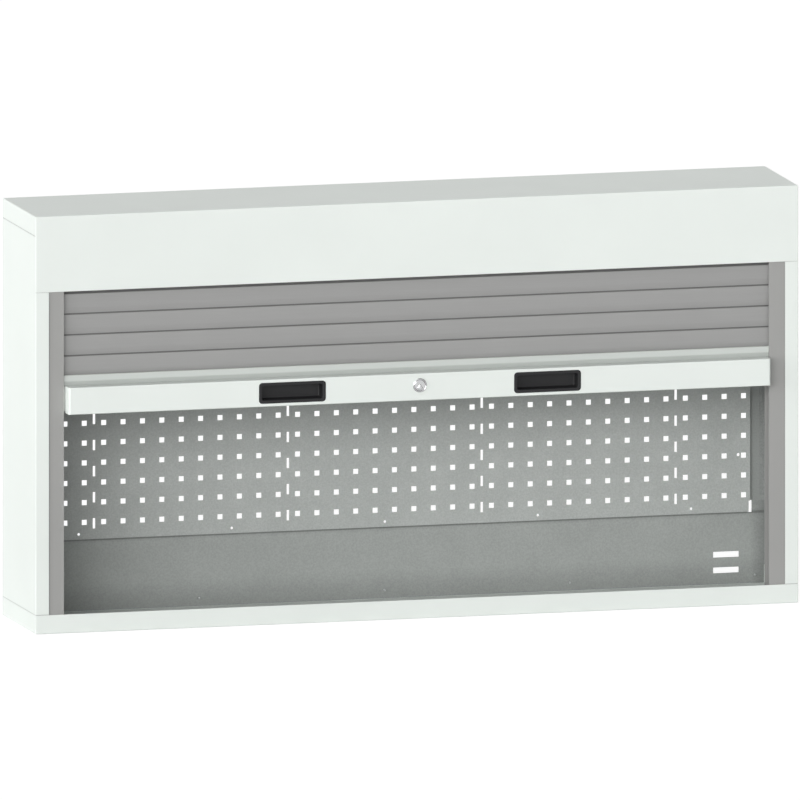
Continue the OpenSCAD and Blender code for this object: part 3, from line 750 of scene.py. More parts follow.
# The lower panel carries a painted shadow below the perforated plate, painted shade towards the floor and
# painted shade towards its ends at the corners.
PANEL_PAINT = replace(
    BACK_PAINT, name="panel_paint_coat", colour=PANEL_GREY,
    bands=(*shade_under(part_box("perforated_panel")[0].z), ShadeBand(0.0, 45.0 * MM, 0.87)),
    corners=(ShadeEnds(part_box("perforated_panel")[1].x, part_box("rear_panel_lower")[1].x, 0.70),),
)
STRIP_PAINT = replace(BACK_PAINT, name="strip_paint_coat", colour=STRIP_GREY)
GUIDE_PAINT = PowderCoat(
    "guide_paint_coat", Slot.GUIDE_PAINT, (0.35, 0.35, 0.34), 0.45, wander=0.015, clear=0.6,
)
SLAT_COAT = CoatedSlat(
    "slat_coat", Slot.SLAT, (0.33, 0.33, 0.325), 0.5, front=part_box("front_slat_1")[0].y,
    step=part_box("middle_slat_1")[0].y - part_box("front_slat_1")[0].y,
)
ZINC = ZincPlate("zinc_plate", Slot.ZINC_STEEL, (0.60, 0.61, 0.62), 0.36)
CHROME = ChromePlate("chrome_plate", Slot.CHROME, (0.60, 0.605, 0.61), 0.07)
BLACK_PLASTIC = MouldedPlastic("black_moulding", Slot.BLACK_PLASTIC, (0.015, 0.015, 0.0162), 0.45, sheen=0.3)
NYLON = MouldedPlastic(
    "natural_nylon", Slot.NYLON, (0.70, 0.70, 0.66), 0.4, grain_depth=0.01 * MM, wander=0.02, milky=0.3,
)
RUBBER = Rubber("black_rubber", Slot.RUBBER, (0.035, 0.035, 0.035), 0.75)


# ---------------------------------------------------------------- shapes


@dataclass(frozen=True)
class Corner:
    """One corner of an outline, and the radius that it is rounded to."""

    u: float
    v: float
    radius: float = 0.0

    def arc(self, before: "Corner", after: "Corner", step: float) -> list[Vector]:
        """Rounds the corner between its two neighbours.

        Args:
            before: The corner before it.
            after: The corner after it.
            step: The largest turn from one point of the arc to the next.

        Returns:
            The points of the arc, or the corner alone where nothing is rounded.
        """
        here = Vector((self.u, self.v))
        back = Vector((before.u, before.v)) - here
        ahead = Vector((after.u, after.v)) - here
        if self.radius <= 0.0:
            return [here]
        opening = back.angle(ahead)
        if opening > math.pi - 1e-3:
            return [here]
        reach = min(self.radius / math.tan(opening / 2.0), 0.49 * back.length, 0.49 * ahead.length)
        radius = reach * math.tan(opening / 2.0)
        middle = (back.normalized() + ahead.normalized()).normalized()
        centre = here + middle * (radius / math.sin(opening / 2.0))
        start = here + back.normalized() * reach - centre
        turn = math.pi - opening
        sign = 1.0 if back.cross(ahead) < 0.0 else -1.0
        count = max(1, math.ceil(turn / step))
        points = []
        for i in range(count + 1):
            angle = sign * turn * i / count
            points.append(centre + Matrix.Rotation(angle, 2) @ start)
        return points


def rounded(corners: list[Corner], step: float = math.radians(18.0)) -> list[Vector]:
    """Turns corners into a closed outline with round stretches.

    Args:
        corners: The corners in order.
        step: The largest turn from point to point on an arc.

    Returns:
        The outline's points.
    """
    count = len(corners)
    points: list[Vector] = []
    for i, corner in enumerate(corners):
        points += corner.arc(corners[i - 1], corners[(i + 1) % count], step)
    return points


def rounded_rectangle(width: float, height: float, radius: float, steps: int = 6) -> list[Vector]:
    """A rectangle about the origin with round corners and a fixed number of points.

    Args:
        width: The width along the first axis.
        height: The height along the second axis.
        radius: The radius of the corners.
        steps: The number of pieces in each corner's arc.

    Returns:
        The outline's points, counter-clockwise from the right side.
    """
    points = []
    for quarter, (su, sv) in enumerate(((1, 1), (-1, 1), (-1, -1), (1, -1))):
        centre = Vector((su * (width / 2.0 - radius), sv * (height / 2.0 - radius)))
        for i in range(steps + 1):
            angle = (quarter + i / steps) * math.pi / 2.0
            points.append(centre + radius * Vector((math.cos(angle), math.sin(angle))))
    return points


class Shape:
    """The corners and faces of one piece, collected before it becomes an object."""

    def __init__(self) -> None:
        """Starts with nothing in it."""
        self.points: list[Vector] = []
        self.faces: list[tuple[int, ...]] = []

    def ring(self, points: list[Vector]) -> list[int]:
        """Adds points.

        Args:
            points: The points in order.

        Returns:
            Their numbers in the shape.
        """
        first = len(self.points)
        self.points += [Vector(p) for p in points]
        return list(range(first, len(self.points)))

    def bridge(self, first: list[int], second: list[int]) -> None:
        """Joins two closed rings of as many points with faces.

        Args:
            first: One ring.
            second: The other ring.
        """
        count = len(first)
        for i in range(count):
            j = (i + 1) % count
            self.faces.append((first[i], first[j], second[j], second[i]))

    def fill(self, rings: list[list[int]]) -> None:
        """Closes a flat face between an outer ring and any inner rings.

        Args:
            rings: The outer ring first, then the holes.
        """
        numbers = [number for ring in rings for number in ring]
        loops = [[self.points[number] for number in ring] for ring in rings]
        for triangle in tessellate_polygon(loops):
            self.faces.append(tuple(numbers[i] for i in triangle))

    def prism(self, outlines: list[list[Vector]], x0: float, x1: float) -> None:
        """Sweeps an outline in Y and Z along X, with its hollows.

        Args:
            outlines: The outer outline first, then the hollows.
            x0: Where the sweep starts.
            x1: Where it ends.
        """
        ends = []
        for x in (x0, x1):
            ends.append([self.ring([Vector((x, p.x, p.y)) for p in outline]) for outline in outlines])
        for first, second in zip(*ends):
            self.bridge(first, second)
        for rings in ends:
            self.fill(rings)

    def loft(self, sections: list[list[Vector]]) -> list[list[int]]:
        """Joins sections of as many points, one after the other.

        Args:
            sections: The sections in order.

        Returns:
            The rings of the sections.
        """
        rings = [self.ring(section) for section in sections]
        for first, second in zip(rings, rings[1:]):
            self.bridge(first, second)
        return rings

    def turned(self, profile: list[tuple[float, float]], count: int = 48, closed: bool = False) -> None:
        """Turns a profile about X.

        Args:
            profile: Places along X with their radii, in order.
            count: The number of points round the axis.
            closed: Whether the profile's end joins its start. Otherwise both ends are filled.
        """
        sections = [round_section(x, radius, count) for x, radius in profile]
        rings = self.loft(sections)
        if closed:
            self.bridge(rings[-1], rings[0])
        else:
            self.fill([rings[0]])
            self.fill([rings[-1]])

    def tube(self, path: list[Vector], radius: float, count: int = 8) -> None:
        """Sweeps a round wire along a path with flat ends.

        Args:
            path: The path's points.
            radius: The wire's radius.
            count: The number of points round the wire.
        """
        sections = []
        for i, place in enumerate(path):
            along = (path[min(i + 1, len(path) - 1)] - path[max(i - 1, 0)]).normalized()
            side = along.cross(Vector((1.0, 0.0, 0.0))).normalized()
            up = side.cross(along)
            section = []
            for k in range(count):
                angle = 2.0 * math.pi * k / count
                section.append(place + radius * (math.cos(angle) * side + math.sin(angle) * up))
            sections.append(section)
        rings = self.loft(sections)
        self.fill([rings[0]])
        self.fill([rings[-1]])

    def add(self, other: "Shape", move: Matrix) -> None:
        """Adds a moved copy of another shape.

        Args:
            other: The shape.
            move: Where the copy goes.
        """
        first = len(self.points)
        self.points += [move @ point for point in other.points]
        self.faces += [tuple(first + i for i in face) for face in other.faces]

    def moved(self, move: Matrix) -> "Shape":
        """Copies the shape to another place.

        Args:
            move: Where the copy goes.

        Returns:
            The copy.
        """
        copy = Shape()
        copy.add(self, move)
        return copy

    def build(self, name: str, finish: Finish, crease: float = math.radians(32.0)) -> Piece:
        """Makes the object.

        Args:
            name: The object's name.
            finish: Its finish.
            crease: The angle over which an edge stays sharp.

        Returns:
            The object, which rides on nothing yet.
        """
        mesh = bpy.data.meshes.new(name)
        work = bmesh.new()
        corners = [work.verts.new(point) for point in self.points]
        for face in self.faces:
            work.faces.new([corners[i] for i in face])
        bmesh.ops.remove_doubles(work, verts=work.verts, dist=1e-7)
        bmesh.ops.recalc_face_normals(work, faces=work.faces)
        work.to_mesh(mesh)
        work.free()
        mesh.shade_smooth()
        mesh.set_sharp_from_angle(angle=crease)
        mesh.materials.append(finish.material())
        piece = bpy.data.objects.new(name, mesh)
        bpy.context.scene.collection.objects.link(piece)
        return piece


def round_section(x: float, radius: float, count: int) -> list[Vector]:
    """A circle round the X axis.

    Args:
        x: Its place on the axis.
        radius: Its radius.
        count: The number of its points.

    Returns:
        The points.
    """
    angles = [2.0 * math.pi * k / count for k in range(count)]
    return [Vector((x, radius * math.cos(a), radius * math.sin(a))) for a in angles]


def spin(place: Vector, axis: str, angle: float = 0.0) -> Matrix:
    """Moves a shape drawn along +X to a place, pointing along another axis.

    Args:
        place: Where its origin goes.
        axis: The axis that its +X goes to: "X", "-X", "Y" or "-Y".
        angle: A turn about its own axis first.

    Returns:
        The move.
    """
    quarter = {"X": 0.0, "Y": math.pi / 2.0, "-X": math.pi, "-Y": -math.pi / 2.0}[axis]
    turn = Matrix.Rotation(quarter, 4, "Z") @ Matrix.Rotation(angle, 4, "X")
    return Matrix.Translation(place) @ turn


class SubAssembly:
    """What the sub-assemblies share: dressing a frame node and placing a new piece."""

    def dress(self, finish: Finish, *nodes: str) -> None:
        """Gives frame nodes a finish in their own material slots.

        Args:
            finish: The finish.
            nodes: The nodes' names.
        """
        for node in nodes:
            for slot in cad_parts[node].material_slots:
                slot.material = finish.material()
            LOG.info("%s: frame node with %s", node, finish.name)

    def place(self, shape: Shape, name: str, finish: Finish, body: Body, *stands_for: str) -> Piece:
        """Builds a new piece, puts it on its body and lets it stand for frame nodes.

        Args:
            shape: The piece's shape.
            name: Its name.
            finish: Its finish.
            body: The body that it rides on.
            stands_for: The nodes that it replaces.

        Returns:
            The piece.
        """
        piece = shape.build(name, finish)
        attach(piece, body.value)
        if stands_for:
            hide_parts(*stands_for)
        LOG.info("%s: %d faces on %s", name, len(piece.data.polygons), body.value)
        return piece


# ---------------------------------------------------------------- small hardware


@dataclass(frozen=True)
class HexNut:
    """A hexagon nut with chamfered corners, drawn along +X from its seat."""

    across_corners: float
    thickness: float
    bore: float
    count: int = 48

    def shape(self) -> Shape:
        """Draws the nut.

        Returns:
            Its shape.
        """
        flat = self.across_corners / 2.0 * math.cos(math.radians(30.0))
        reach = []
        for k in range(self.count):
            angle = 2.0 * math.pi * k / self.count
            from_flat = (angle % math.radians(60.0)) - math.radians(30.0)
            reach.append((angle, flat / math.cos(from_flat)))
        low, high, rim = [], [], []
        for angle, radius in reach:
            way = Vector((0.0, math.cos(angle), math.sin(angle)))
            drop = (radius - flat * 0.98) * math.tan(math.radians(30.0))
            low.append(way * radius)
            high.append(way * radius + Vector((self.thickness - drop, 0.0, 0.0)))
            rim.append(way * flat * 0.98 + Vector((self.thickness, 0.0, 0.0)))
        lead = 0.06 * self.bore
        sections = [
            low, high, rim,
            round_section(self.thickness, self.bore / 2.0 + lead, self.count),
            round_section(self.thickness - lead, self.bore / 2.0, self.count),
            round_section(0.0, self.bore / 2.0, self.count),
        ]
        nut = Shape()
        rings = nut.loft(sections)
        nut.bridge(rings[-1], rings[0])
        return nut


@dataclass(frozen=True)
class ThreadedStud:
    """A stud with a rolled thread and a chamfered end, drawn along +X."""

    diameter: float
    length: float
    pitch: float = 0.8 * MM
    count: int = 24

    def shape(self) -> Shape:
        """Draws the stud.

        Returns:
            Its shape.
        """
        crest = self.diameter / 2.0
        root = crest - 0.55 * self.pitch
        turns = int((self.length - 2.0 * self.pitch) / self.pitch)
        profile = [(0.0, crest)]
        for i in range(turns):
            profile.append((self.pitch * (i + 1.0), crest))
            profile.append((self.pitch * (i + 1.5), root))
        profile.append((self.length - self.pitch, crest))
        profile.append((self.length, root))
        stud = Shape()
        stud.turned(profile, self.count)
        return stud


@dataclass(frozen=True)
class CountersunkScrew:
    """A countersunk screw with a cross recess, drawn along +X with its head's face at 0."""

    head: float
    shank: float
    head_depth: float
    length: float
    recess: float = 1.9 * MM
    recess_width: float = 1.0 * MM
    recess_depth: float = 1.0 * MM
    count: int = 48

    def cross(self, reach: float, width: float, x: float) -> list[Vector]:
        """Draws the outline of the cross.

        Args:
            reach: The length of an arm from the middle.
            width: The width of an arm.
            x: Its place on the axis.

        Returns:
            Its points.
        """
        half = width / 2.0
        arm = [(half, half), (half, reach), (-half, reach)]
        points = []
        for quarter in range(4):
            turn = Matrix.Rotation(quarter * math.pi / 2.0, 2)
            for u, v in arm:
                spot = turn @ Vector((u, v))
                points.append(Vector((x, spot.x, spot.y)))
        return points

    def shape(self) -> Shape:
        """Draws the screw.

        Returns:
            Its shape.
        """
        screw = Shape()
        edge = 0.15 * MM
        rings = screw.loft([
            round_section(0.0, self.head / 2.0 - edge, self.count),
            round_section(edge, self.head / 2.0 - edge, self.count),
            round_section(self.head_depth, self.shank / 2.0, self.count),
            round_section(self.length - edge, self.shank / 2.0, self.count),
            round_section(self.length, self.shank / 2.0 - 2.0 * edge, self.count),
        ])
        mouth = screw.ring(self.cross(self.recess, self.recess_width, 0.0))
        floor = screw.ring(self.cross(self.recess * 0.6, self.recess_width * 0.6, self.recess_depth))
        screw.fill([rings[0], mouth])
        screw.bridge(mouth, floor)
        screw.fill([floor])
        screw.fill([rings[-1]])
        return screw


# ---------------------------------------------------------------- case and back


@dataclass
class Case(SubAssembly):
    """The folded case: cover with its fascia, tray, side panels and the screws at the back."""

    screw: CountersunkScrew = field(
        default_factory=lambda: CountersunkScrew(7.0 * MM, 4.0 * MM, 1.2 * MM, 7.0 * MM)
    )
    cover_screw_drop: float = 18.5 * MM
    tray_screw_rise: float = 18.0 * MM
    screw_edge: float = 10.0 * MM
    screw_turn: float = 0.4

    def build(self) -> None:
        """Dresses the panels and builds the screws."""
        self.dress(CASE_SHEET, "top_cover", "fascia", "cover_rear_lip")
        self.dress(SIDE_SHEET, "cover_end_lips", "side_panel_left", "side_panel_right")
        self.dress(TRAY_SHEET, "base_tray")
        self.build_screws()

    def build_screws(self) -> None:
        """Builds the countersunk screws along the back of the cover and the tray."""
        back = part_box("top_cover")[1]
        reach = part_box("perforated_panel")[1].x + self.screw_edge
        screws = Shape()
        model = self.screw.shape()
        spots = [(side * reach, back.z - self.cover_screw_drop) for side in Side]
        spots += [(share * reach, self.tray_screw_rise) for share in (-1.0, -0.5, 0.0, 0.5, 1.0)]
        for number, (x, z) in enumerate(spots):
            screws.add(model, spin(Vector((x, back.y, z)), "-Y", number * self.screw_turn))
        self.place(screws, "rear_screw_heads", ZINC, Body.CABINET, "rear_screws")


@dataclass
class Back(SubAssembly):
    """The perforated tool plate, the panel below it and the notched strips beside it."""

    def build(self) -> None:
        """Dresses the sheets."""
        self.dress(BACK_PAINT, "perforated_panel")
        self.dress(PANEL_PAINT, "rear_panel_lower")
        self.dress(STRIP_PAINT, "hook_strip_left", "hook_strip_right")


# ---------------------------------------------------------------- guides


@dataclass
class Guides(SubAssembly):
    """The two guide rails with their studs, nuts, end stops and lock keepers."""

    stud_pitch: float = 150.0 * MM
    first_stud: float = 76.0 * MM
    nut: HexNut = field(default_factory=lambda: HexNut(9.0 * MM, 3.0 * MM, 4.6 * MM))
    nut_seat: float = 1.5 * MM
    stud: ThreadedStud = field(default_factory=lambda: ThreadedStud(5.0 * MM, 5.5 * MM))
    stud_turn: float = 0.3
    stop_round: float = 1.0 * MM
    stop_inset: float = 1.5 * MM

    def build(self) -> None:
        """Dresses the rails and keepers, and builds the studs and stops."""
        self.dress(GUIDE_PAINT, "guide_rail_left", "guide_rail_right", "guide_faces")
        self.dress(ZINC, "lock_keeper_left", "lock_keeper_right")
        self.build_studs()
        self.build_stops()

    def build_studs(self) -> None:
        """Builds the welded studs with their nuts on both sides."""
        low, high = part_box("guide_studs")
        wall = high.x
        stack = Shape()
        stack.add(self.stud.shape(), Matrix.Identity(4))
        stack.add(self.nut.shape(), Matrix.Translation((self.nut_seat, 0.0, 0.0)))
        studs = Shape()
        middle = (low.y + high.y) / 2.0
        rows = 1 + round((high.z - low.z) / self.stud_pitch)
        for side in Side:
            for row in range(rows):
                z = self.first_stud + row * self.stud_pitch
                axis = "X" if side is Side.LEFT else "-X"
                studs.add(stack, spin(Vector((side * wall, middle, z)), axis, self.stud_turn * row))
        self.place(studs, "guide_stud_nuts", ZINC, Body.CABINET, "guide_studs")

    def build_stops(self) -> None:
        """Builds the rubber blocks that end the shutter's travel."""
        low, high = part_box("top_stops")
        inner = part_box("guide_rail_right")[0].x + self.stop_inset
        stops = Shape()
        for side in Side:
            block = rounded_block(
                Vector((inner, low.y, low.z)), Vector((high.x, high.y, high.z)), self.stop_round,
            )
            stops.add(block, Matrix.Scale(side, 4, (1.0, 0.0, 0.0)))
        self.place(stops, "rubber_stops", RUBBER, Body.CABINET, "top_stops")


def rounded_block(low: Vector, high: Vector, radius: float, steps: int = 3) -> Shape:
    """A block with all its edges rounded, lofted along X.

    Args:
        low: Its lowest corner.
        high: Its highest corner.
        radius: The radius of its edges.
        steps: The number of pieces in each quarter turn.

    Returns:
        The block.
    """
    size = high - low
    middle = (low + high) / 2.0
    sections = []
    for end in (0, 1):
        for i in range(steps + 1):
            share = i if end == 0 else steps - i
            angle = share / steps * math.pi / 2.0
            inset = radius * (1.0 - math.sin(angle))
            push = radius * (1.0 - math.cos(angle))
            x = low.x + push if end == 0 else high.x - push
            corner = max(radius - inset, 0.15 * radius)
            plan = rounded_rectangle(size.y - 2.0 * inset, size.z - 2.0 * inset, corner, steps)
            sections.append([Vector((x, middle.y + p.x, middle.z + p.y)) for p in plan])
    block = Shape()
    rings = block.loft(sections)
    block.fill([rings[0]])
    block.fill([rings[-1]])
    return block


# ---------------------------------------------------------------- barrel


@dataclass
class Barrel(SubAssembly):
    """The spring barrel behind the fascia, with its shaft, plugs, springs and brackets."""

    wire: float = 2.6 * MM
    coil_pitch: float = 4.0 * MM
    coil_steps: int = 20
    nut: HexNut = field(default_factory=lambda: HexNut(11.0 * MM, 5.0 * MM, 5.6 * MM))
    nut_seat: float = 3.0 * MM
    slat_clearance: float = 0.05 * MM
    safety_slats: int = 4
    stud: ThreadedStud = field(default_factory=lambda: ThreadedStud(6.0 * MM, 10.0 * MM, 1.0 * MM))

    def build(self) -> None:
        """Dresses the turned pieces, and builds the springs, nuts and wound slats."""
        self.dress(ZINC, "barrel_tube", "barrel_shaft", "spring_anchors")
        self.dress(ZINC, "barrel_bracket_left", "barrel_bracket_right")
        self.dress(BLACK_PLASTIC, "barrel_plug_left", "barrel_plug_right")
        for side in Side:
            self.build_spring(side)
        self.build_nuts()
        self.build_wound_slats()

    @property
    def axis(self) -> Vector:
        """The middle of the barrel's axis."""
        low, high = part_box("barrel_shaft")
        return (low + high) / 2.0

    def build_spring(self, side: Side) -> None:
        """Winds one torsion spring, with its ends drawn square.

        Args:
            side: The side that the spring is on.
        """
        node = f"torsion_spring_{side.word}"
        low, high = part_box(node)
        radius = (high.z - low.z) / 2.0 - self.wire / 2.0
        length = high.x - low.x - self.wire
        turns = length / self.coil_pitch
        count = int(turns * self.coil_steps)
        axis = self.axis
        path = []
        for i in range(count + 1):
            angle = side * 2.0 * math.pi * turns * i / count
            x = low.x + self.wire / 2.0 + length * i / count
            path.append(Vector((x, axis.y + radius * math.cos(angle), axis.z + radius * math.sin(angle))))
        spring = Shape()
        spring.tube(path, self.wire / 2.0, 6)
        self.place(spring, f"spring_coil_{side.word}", ZINC, Body.CABINET, node)

    def build_nuts(self) -> None:
        """Builds the screws and nuts that hold the brackets."""
        low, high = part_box("bracket_nuts")
        edge = self.nut.across_corners * math.cos(math.radians(30.0)) / 2.0
        stack = Shape()
        stack.add(self.stud.shape(), Matrix.Identity(4))
        stack.add(self.nut.shape(), Matrix.Translation((self.nut_seat, 0.0, 0.0)))
        nuts = Shape()
        for side in Side:
            axis = "X" if side is Side.LEFT else "-X"
            for y in (low.y + edge, high.y - edge):
                nuts.add(stack, spin(Vector((side * high.x, y, (low.z + high.z) / 2.0)), axis, y * 40.0))
        self.place(nuts, "bracket_screw_nuts", ZINC, Body.CABINET, "bracket_nuts")

    def build_wound_slats(self) -> None:
        """Lays the last four slats round the barrel's tube."""
        low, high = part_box("wound_slats")
        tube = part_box("barrel_tube")
        radius = (tube[1].z - tube[0].z) / 2.0
        profile = SlatProfile()
        slat = Shape()
        slat.prism(profile.outlines(), low.x, high.x)
        slats = Shape()
        start = Vector((0.0, -radius - self.slat_clearance - profile.thickness, -profile.pitch / 2.0))
        for number in range(self.safety_slats):
            turn = Matrix.Rotation(2.0 * math.pi * number / self.safety_slats, 4, "X")
            slats.add(slat, Matrix.Translation(self.axis) @ turn @ Matrix.Translation(start))
        self.place(slats, "safety_slats", SLAT_COAT, Body.BARREL, "wound_slats")


# ---------------------------------------------------------------- shutter


@dataclass
class SlatProfile:
    """The roll-formed section of a slat, with its front and its lower edge at 0."""

    pitch: float = 40.0 * MM
    thickness: float = 7.0 * MM
    bevel: float = 2.6 * MM
    bevel_height: float = 11.0 * MM
    head_gap: float = 2.4 * MM
    crown: float = 2.0 * MM
    wall: float = 1.2 * MM
    tongue: float = 2.0 * MM
    tongue_height: float = 3.6 * MM
    tongue_front: float = 3.6 * MM
    tongue_round: float = 0.7 * MM
    shoulder_round: float = 6.0 * MM
    slot_over: float = 0.8 * MM
    play: float = 0.3 * MM
    edge: float = 0.5 * MM

    def outlines(self) -> list[list[Vector]]:
        """Draws the section in Y and Z.

        Returns:
            The outer outline and the hollow.
        """
        head = self.pitch - self.head_gap
        back = self.tongue_front + self.tongue
        top = self.pitch + self.tongue_height
        slot_top = self.tongue_height + self.slot_over
        outer = rounded([
            Corner(self.bevel, 0.0, self.edge),
            Corner(0.0, self.bevel_height, self.shoulder_round),
            Corner(0.0, head, self.crown),
            Corner(self.tongue_front, head),
            Corner(self.tongue_front, top, self.tongue_round),
            Corner(back, top, self.tongue_round),
            Corner(back, head),
            Corner(self.thickness, head, self.edge),
            Corner(self.thickness, 0.0, self.edge),
            Corner(back + self.play, 0.0),
            Corner(back + self.play, slot_top),
            Corner(self.tongue_front - self.play, slot_top),
            Corner(self.tongue_front - self.play, 0.0),
        ])
        hollow = rounded([
            Corner(self.wall, self.bevel_height, self.edge),
            Corner(self.wall, head - self.crown, self.edge),
            Corner(self.thickness - self.wall, head - self.crown, self.edge),
            Corner(self.thickness - self.wall, self.bevel_height, self.edge),
        ])
        return [outer, hollow]


@dataclass
class Curtain(SubAssembly):
    """The slats in their three groups."""

    profile: SlatProfile = field(default_factory=SlatProfile)

    def build(self) -> None:
        """Builds every slat on the body of its group."""
        groups = {
            "front_slat_": (4, Body.SHUTTER),
            "middle_slat_": (5, Body.MIDDLE_SLATS),
            "upper_slat_": (5, Body.UPPER_SLATS),
        }
        for stem, (count, body) in groups.items():
            for number in range(1, count + 1):
                self.build_slat(f"{stem}{number}", body)

    def build_slat(self, node: str, body: Body) -> None:
        """Builds one slat in the place of its node.

        Args:
            node: The slat's node.
            body: The body that it rides on.
        """
        low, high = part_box(node)
        slat = Shape()
        slat.prism(self.profile.outlines(), low.x, high.x)
        moved = slat.moved(Matrix.Translation((0.0, low.y, low.z)))
        self.place(moved, f"{node}_section", SLAT_COAT, body, node)


@dataclass
class HandleBar(SubAssembly):
    """The handle bar with its caps, seal and screws, and the rail that joins it to the slats."""

    rib_half: float = 0.6 * MM
    rib_hollow: float = 0.55
    rib_round: float = 0.7 * MM
    rib_root: float = 0.4 * MM
    lip_round: float = 0.9 * MM

    def build(self) -> None:
        """Dresses the profiles and builds the seal."""
        self.dress(BAR_PAINT, "handle_bar", "bar_cap_left", "bar_cap_right")
        self.dress(RAIL_SHADED_PAINT, "bottom_rail")
        self.dress(NYLON, "rail_plug_left", "rail_plug_right")
        self.dress(ZINC, "bar_screws")
        self.build_seal()

    def build_seal(self) -> None:
        """Builds the rubber lip under the bar, with three ribs."""
        low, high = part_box("bar_seal")
        depth = high.y - low.y
        height = high.z - low.z
        rib = depth / 3.0
        corners = [Corner(0.0, height), Corner(0.0, 0.0, self.lip_round)]
        for i in range(1, 3):
            corners += [
                Corner(i * rib - self.rib_half, 0.0, self.rib_round),
                Corner(i * rib, height * self.rib_hollow, self.rib_root),
                Corner(i * rib + self.rib_half, 0.0, self.rib_round),
            ]
        corners += [Corner(depth, 0.0, self.lip_round), Corner(depth, height)]
        seal = Shape()
        seal.prism([rounded(corners)], low.x, high.x)
        moved = seal.moved(Matrix.Translation((0.0, low.y, low.z)))
        self.place(moved, "seal_lip", RUBBER, Body.SHUTTER, "bar_seal")


@dataclass
class Grip(SubAssembly):
    """One recessed finger grip, moulded in black plastic and clipped into the bar's front."""

    side: Side
    rim: float = 6.0 * MM
    wall: float = 1.5 * MM
    corner: float = 6.5 * MM
    rim_edge: float = 0.5 * MM
    mouth_round: float = 1.0 * MM
    floor_round: float = 3.0 * MM
    back_edge: float = 1.0 * MM
    corner_step: float = 0.3 * MM
    draft: float = 0.6 * MM

    def build(self) -> None:
        """Lofts the grip from its back round the rim and down to the recess floor."""
        node = f"grip_{self.side.word}"
        low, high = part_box(node)
        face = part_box("handle_bar")[0].y
        width = high.x - low.x
        height = high.z - low.z
        middle = Vector(((low.x + high.x) / 2.0, 0.0, (low.z + high.z) / 2.0))
        sections = []

        def section(inset: float, y: float, radius: float) -> None:
            """Adds one rounded rectangle, drawn in from the rim's edge."""
            plan = rounded_rectangle(width - 2.0 * inset, height - 2.0 * inset, radius)
            sections.append([middle + Vector((p.x, y, p.y)) for p in plan])

        body = self.rim - self.wall
        section(body + self.back_edge, high.y, self.corner - self.wall - self.back_edge)
        section(body, high.y - self.back_edge, self.corner - self.wall)
        section(body, face, self.corner - self.wall)
        section(0.0, face, self.corner)
        for inset, y in quarter_round(self.rim_edge, 4):
            section(inset, low.y + self.rim_edge - y, self.corner - inset)
        inner = self.corner - 2.0 * self.wall
        for inset, y in quarter_round(self.mouth_round, 5):
            back = self.mouth_round - y
            section(self.rim - back, low.y + inset, inner + back)
        floor = high.y - self.wall
        lower = inner - self.corner_step
        section(self.rim + self.draft, floor - self.floor_round, lower)
        for inset, y in quarter_round(self.floor_round, 6):
            radius = max(lower - inset * 0.6, 0.8 * MM)
            section(self.rim + self.draft + inset, floor - self.floor_round + y, radius)
        grip = Shape()
        rings = grip.loft(sections)
        grip.fill([rings[0]])
        grip.fill([rings[-1]])
        self.place(grip, f"finger_grip_{self.side.word}", BLACK_PLASTIC, Body.SHUTTER, node)


def quarter_round(radius: float, steps: int) -> list[tuple[float, float]]:
    """The places of a quarter round that starts straight ahead and ends sideways.

    Args:
        radius: Its radius.
        steps: The number of pieces.

    Returns:
        How far each place lies sideways and ahead of the start.
    """
    angles = [math.pi / 2.0 * i / steps for i in range(steps + 1)]
    return [(radius * (1.0 - math.cos(a)), radius * math.sin(a)) for a in angles]


# ---------------------------------------------------------------- lock


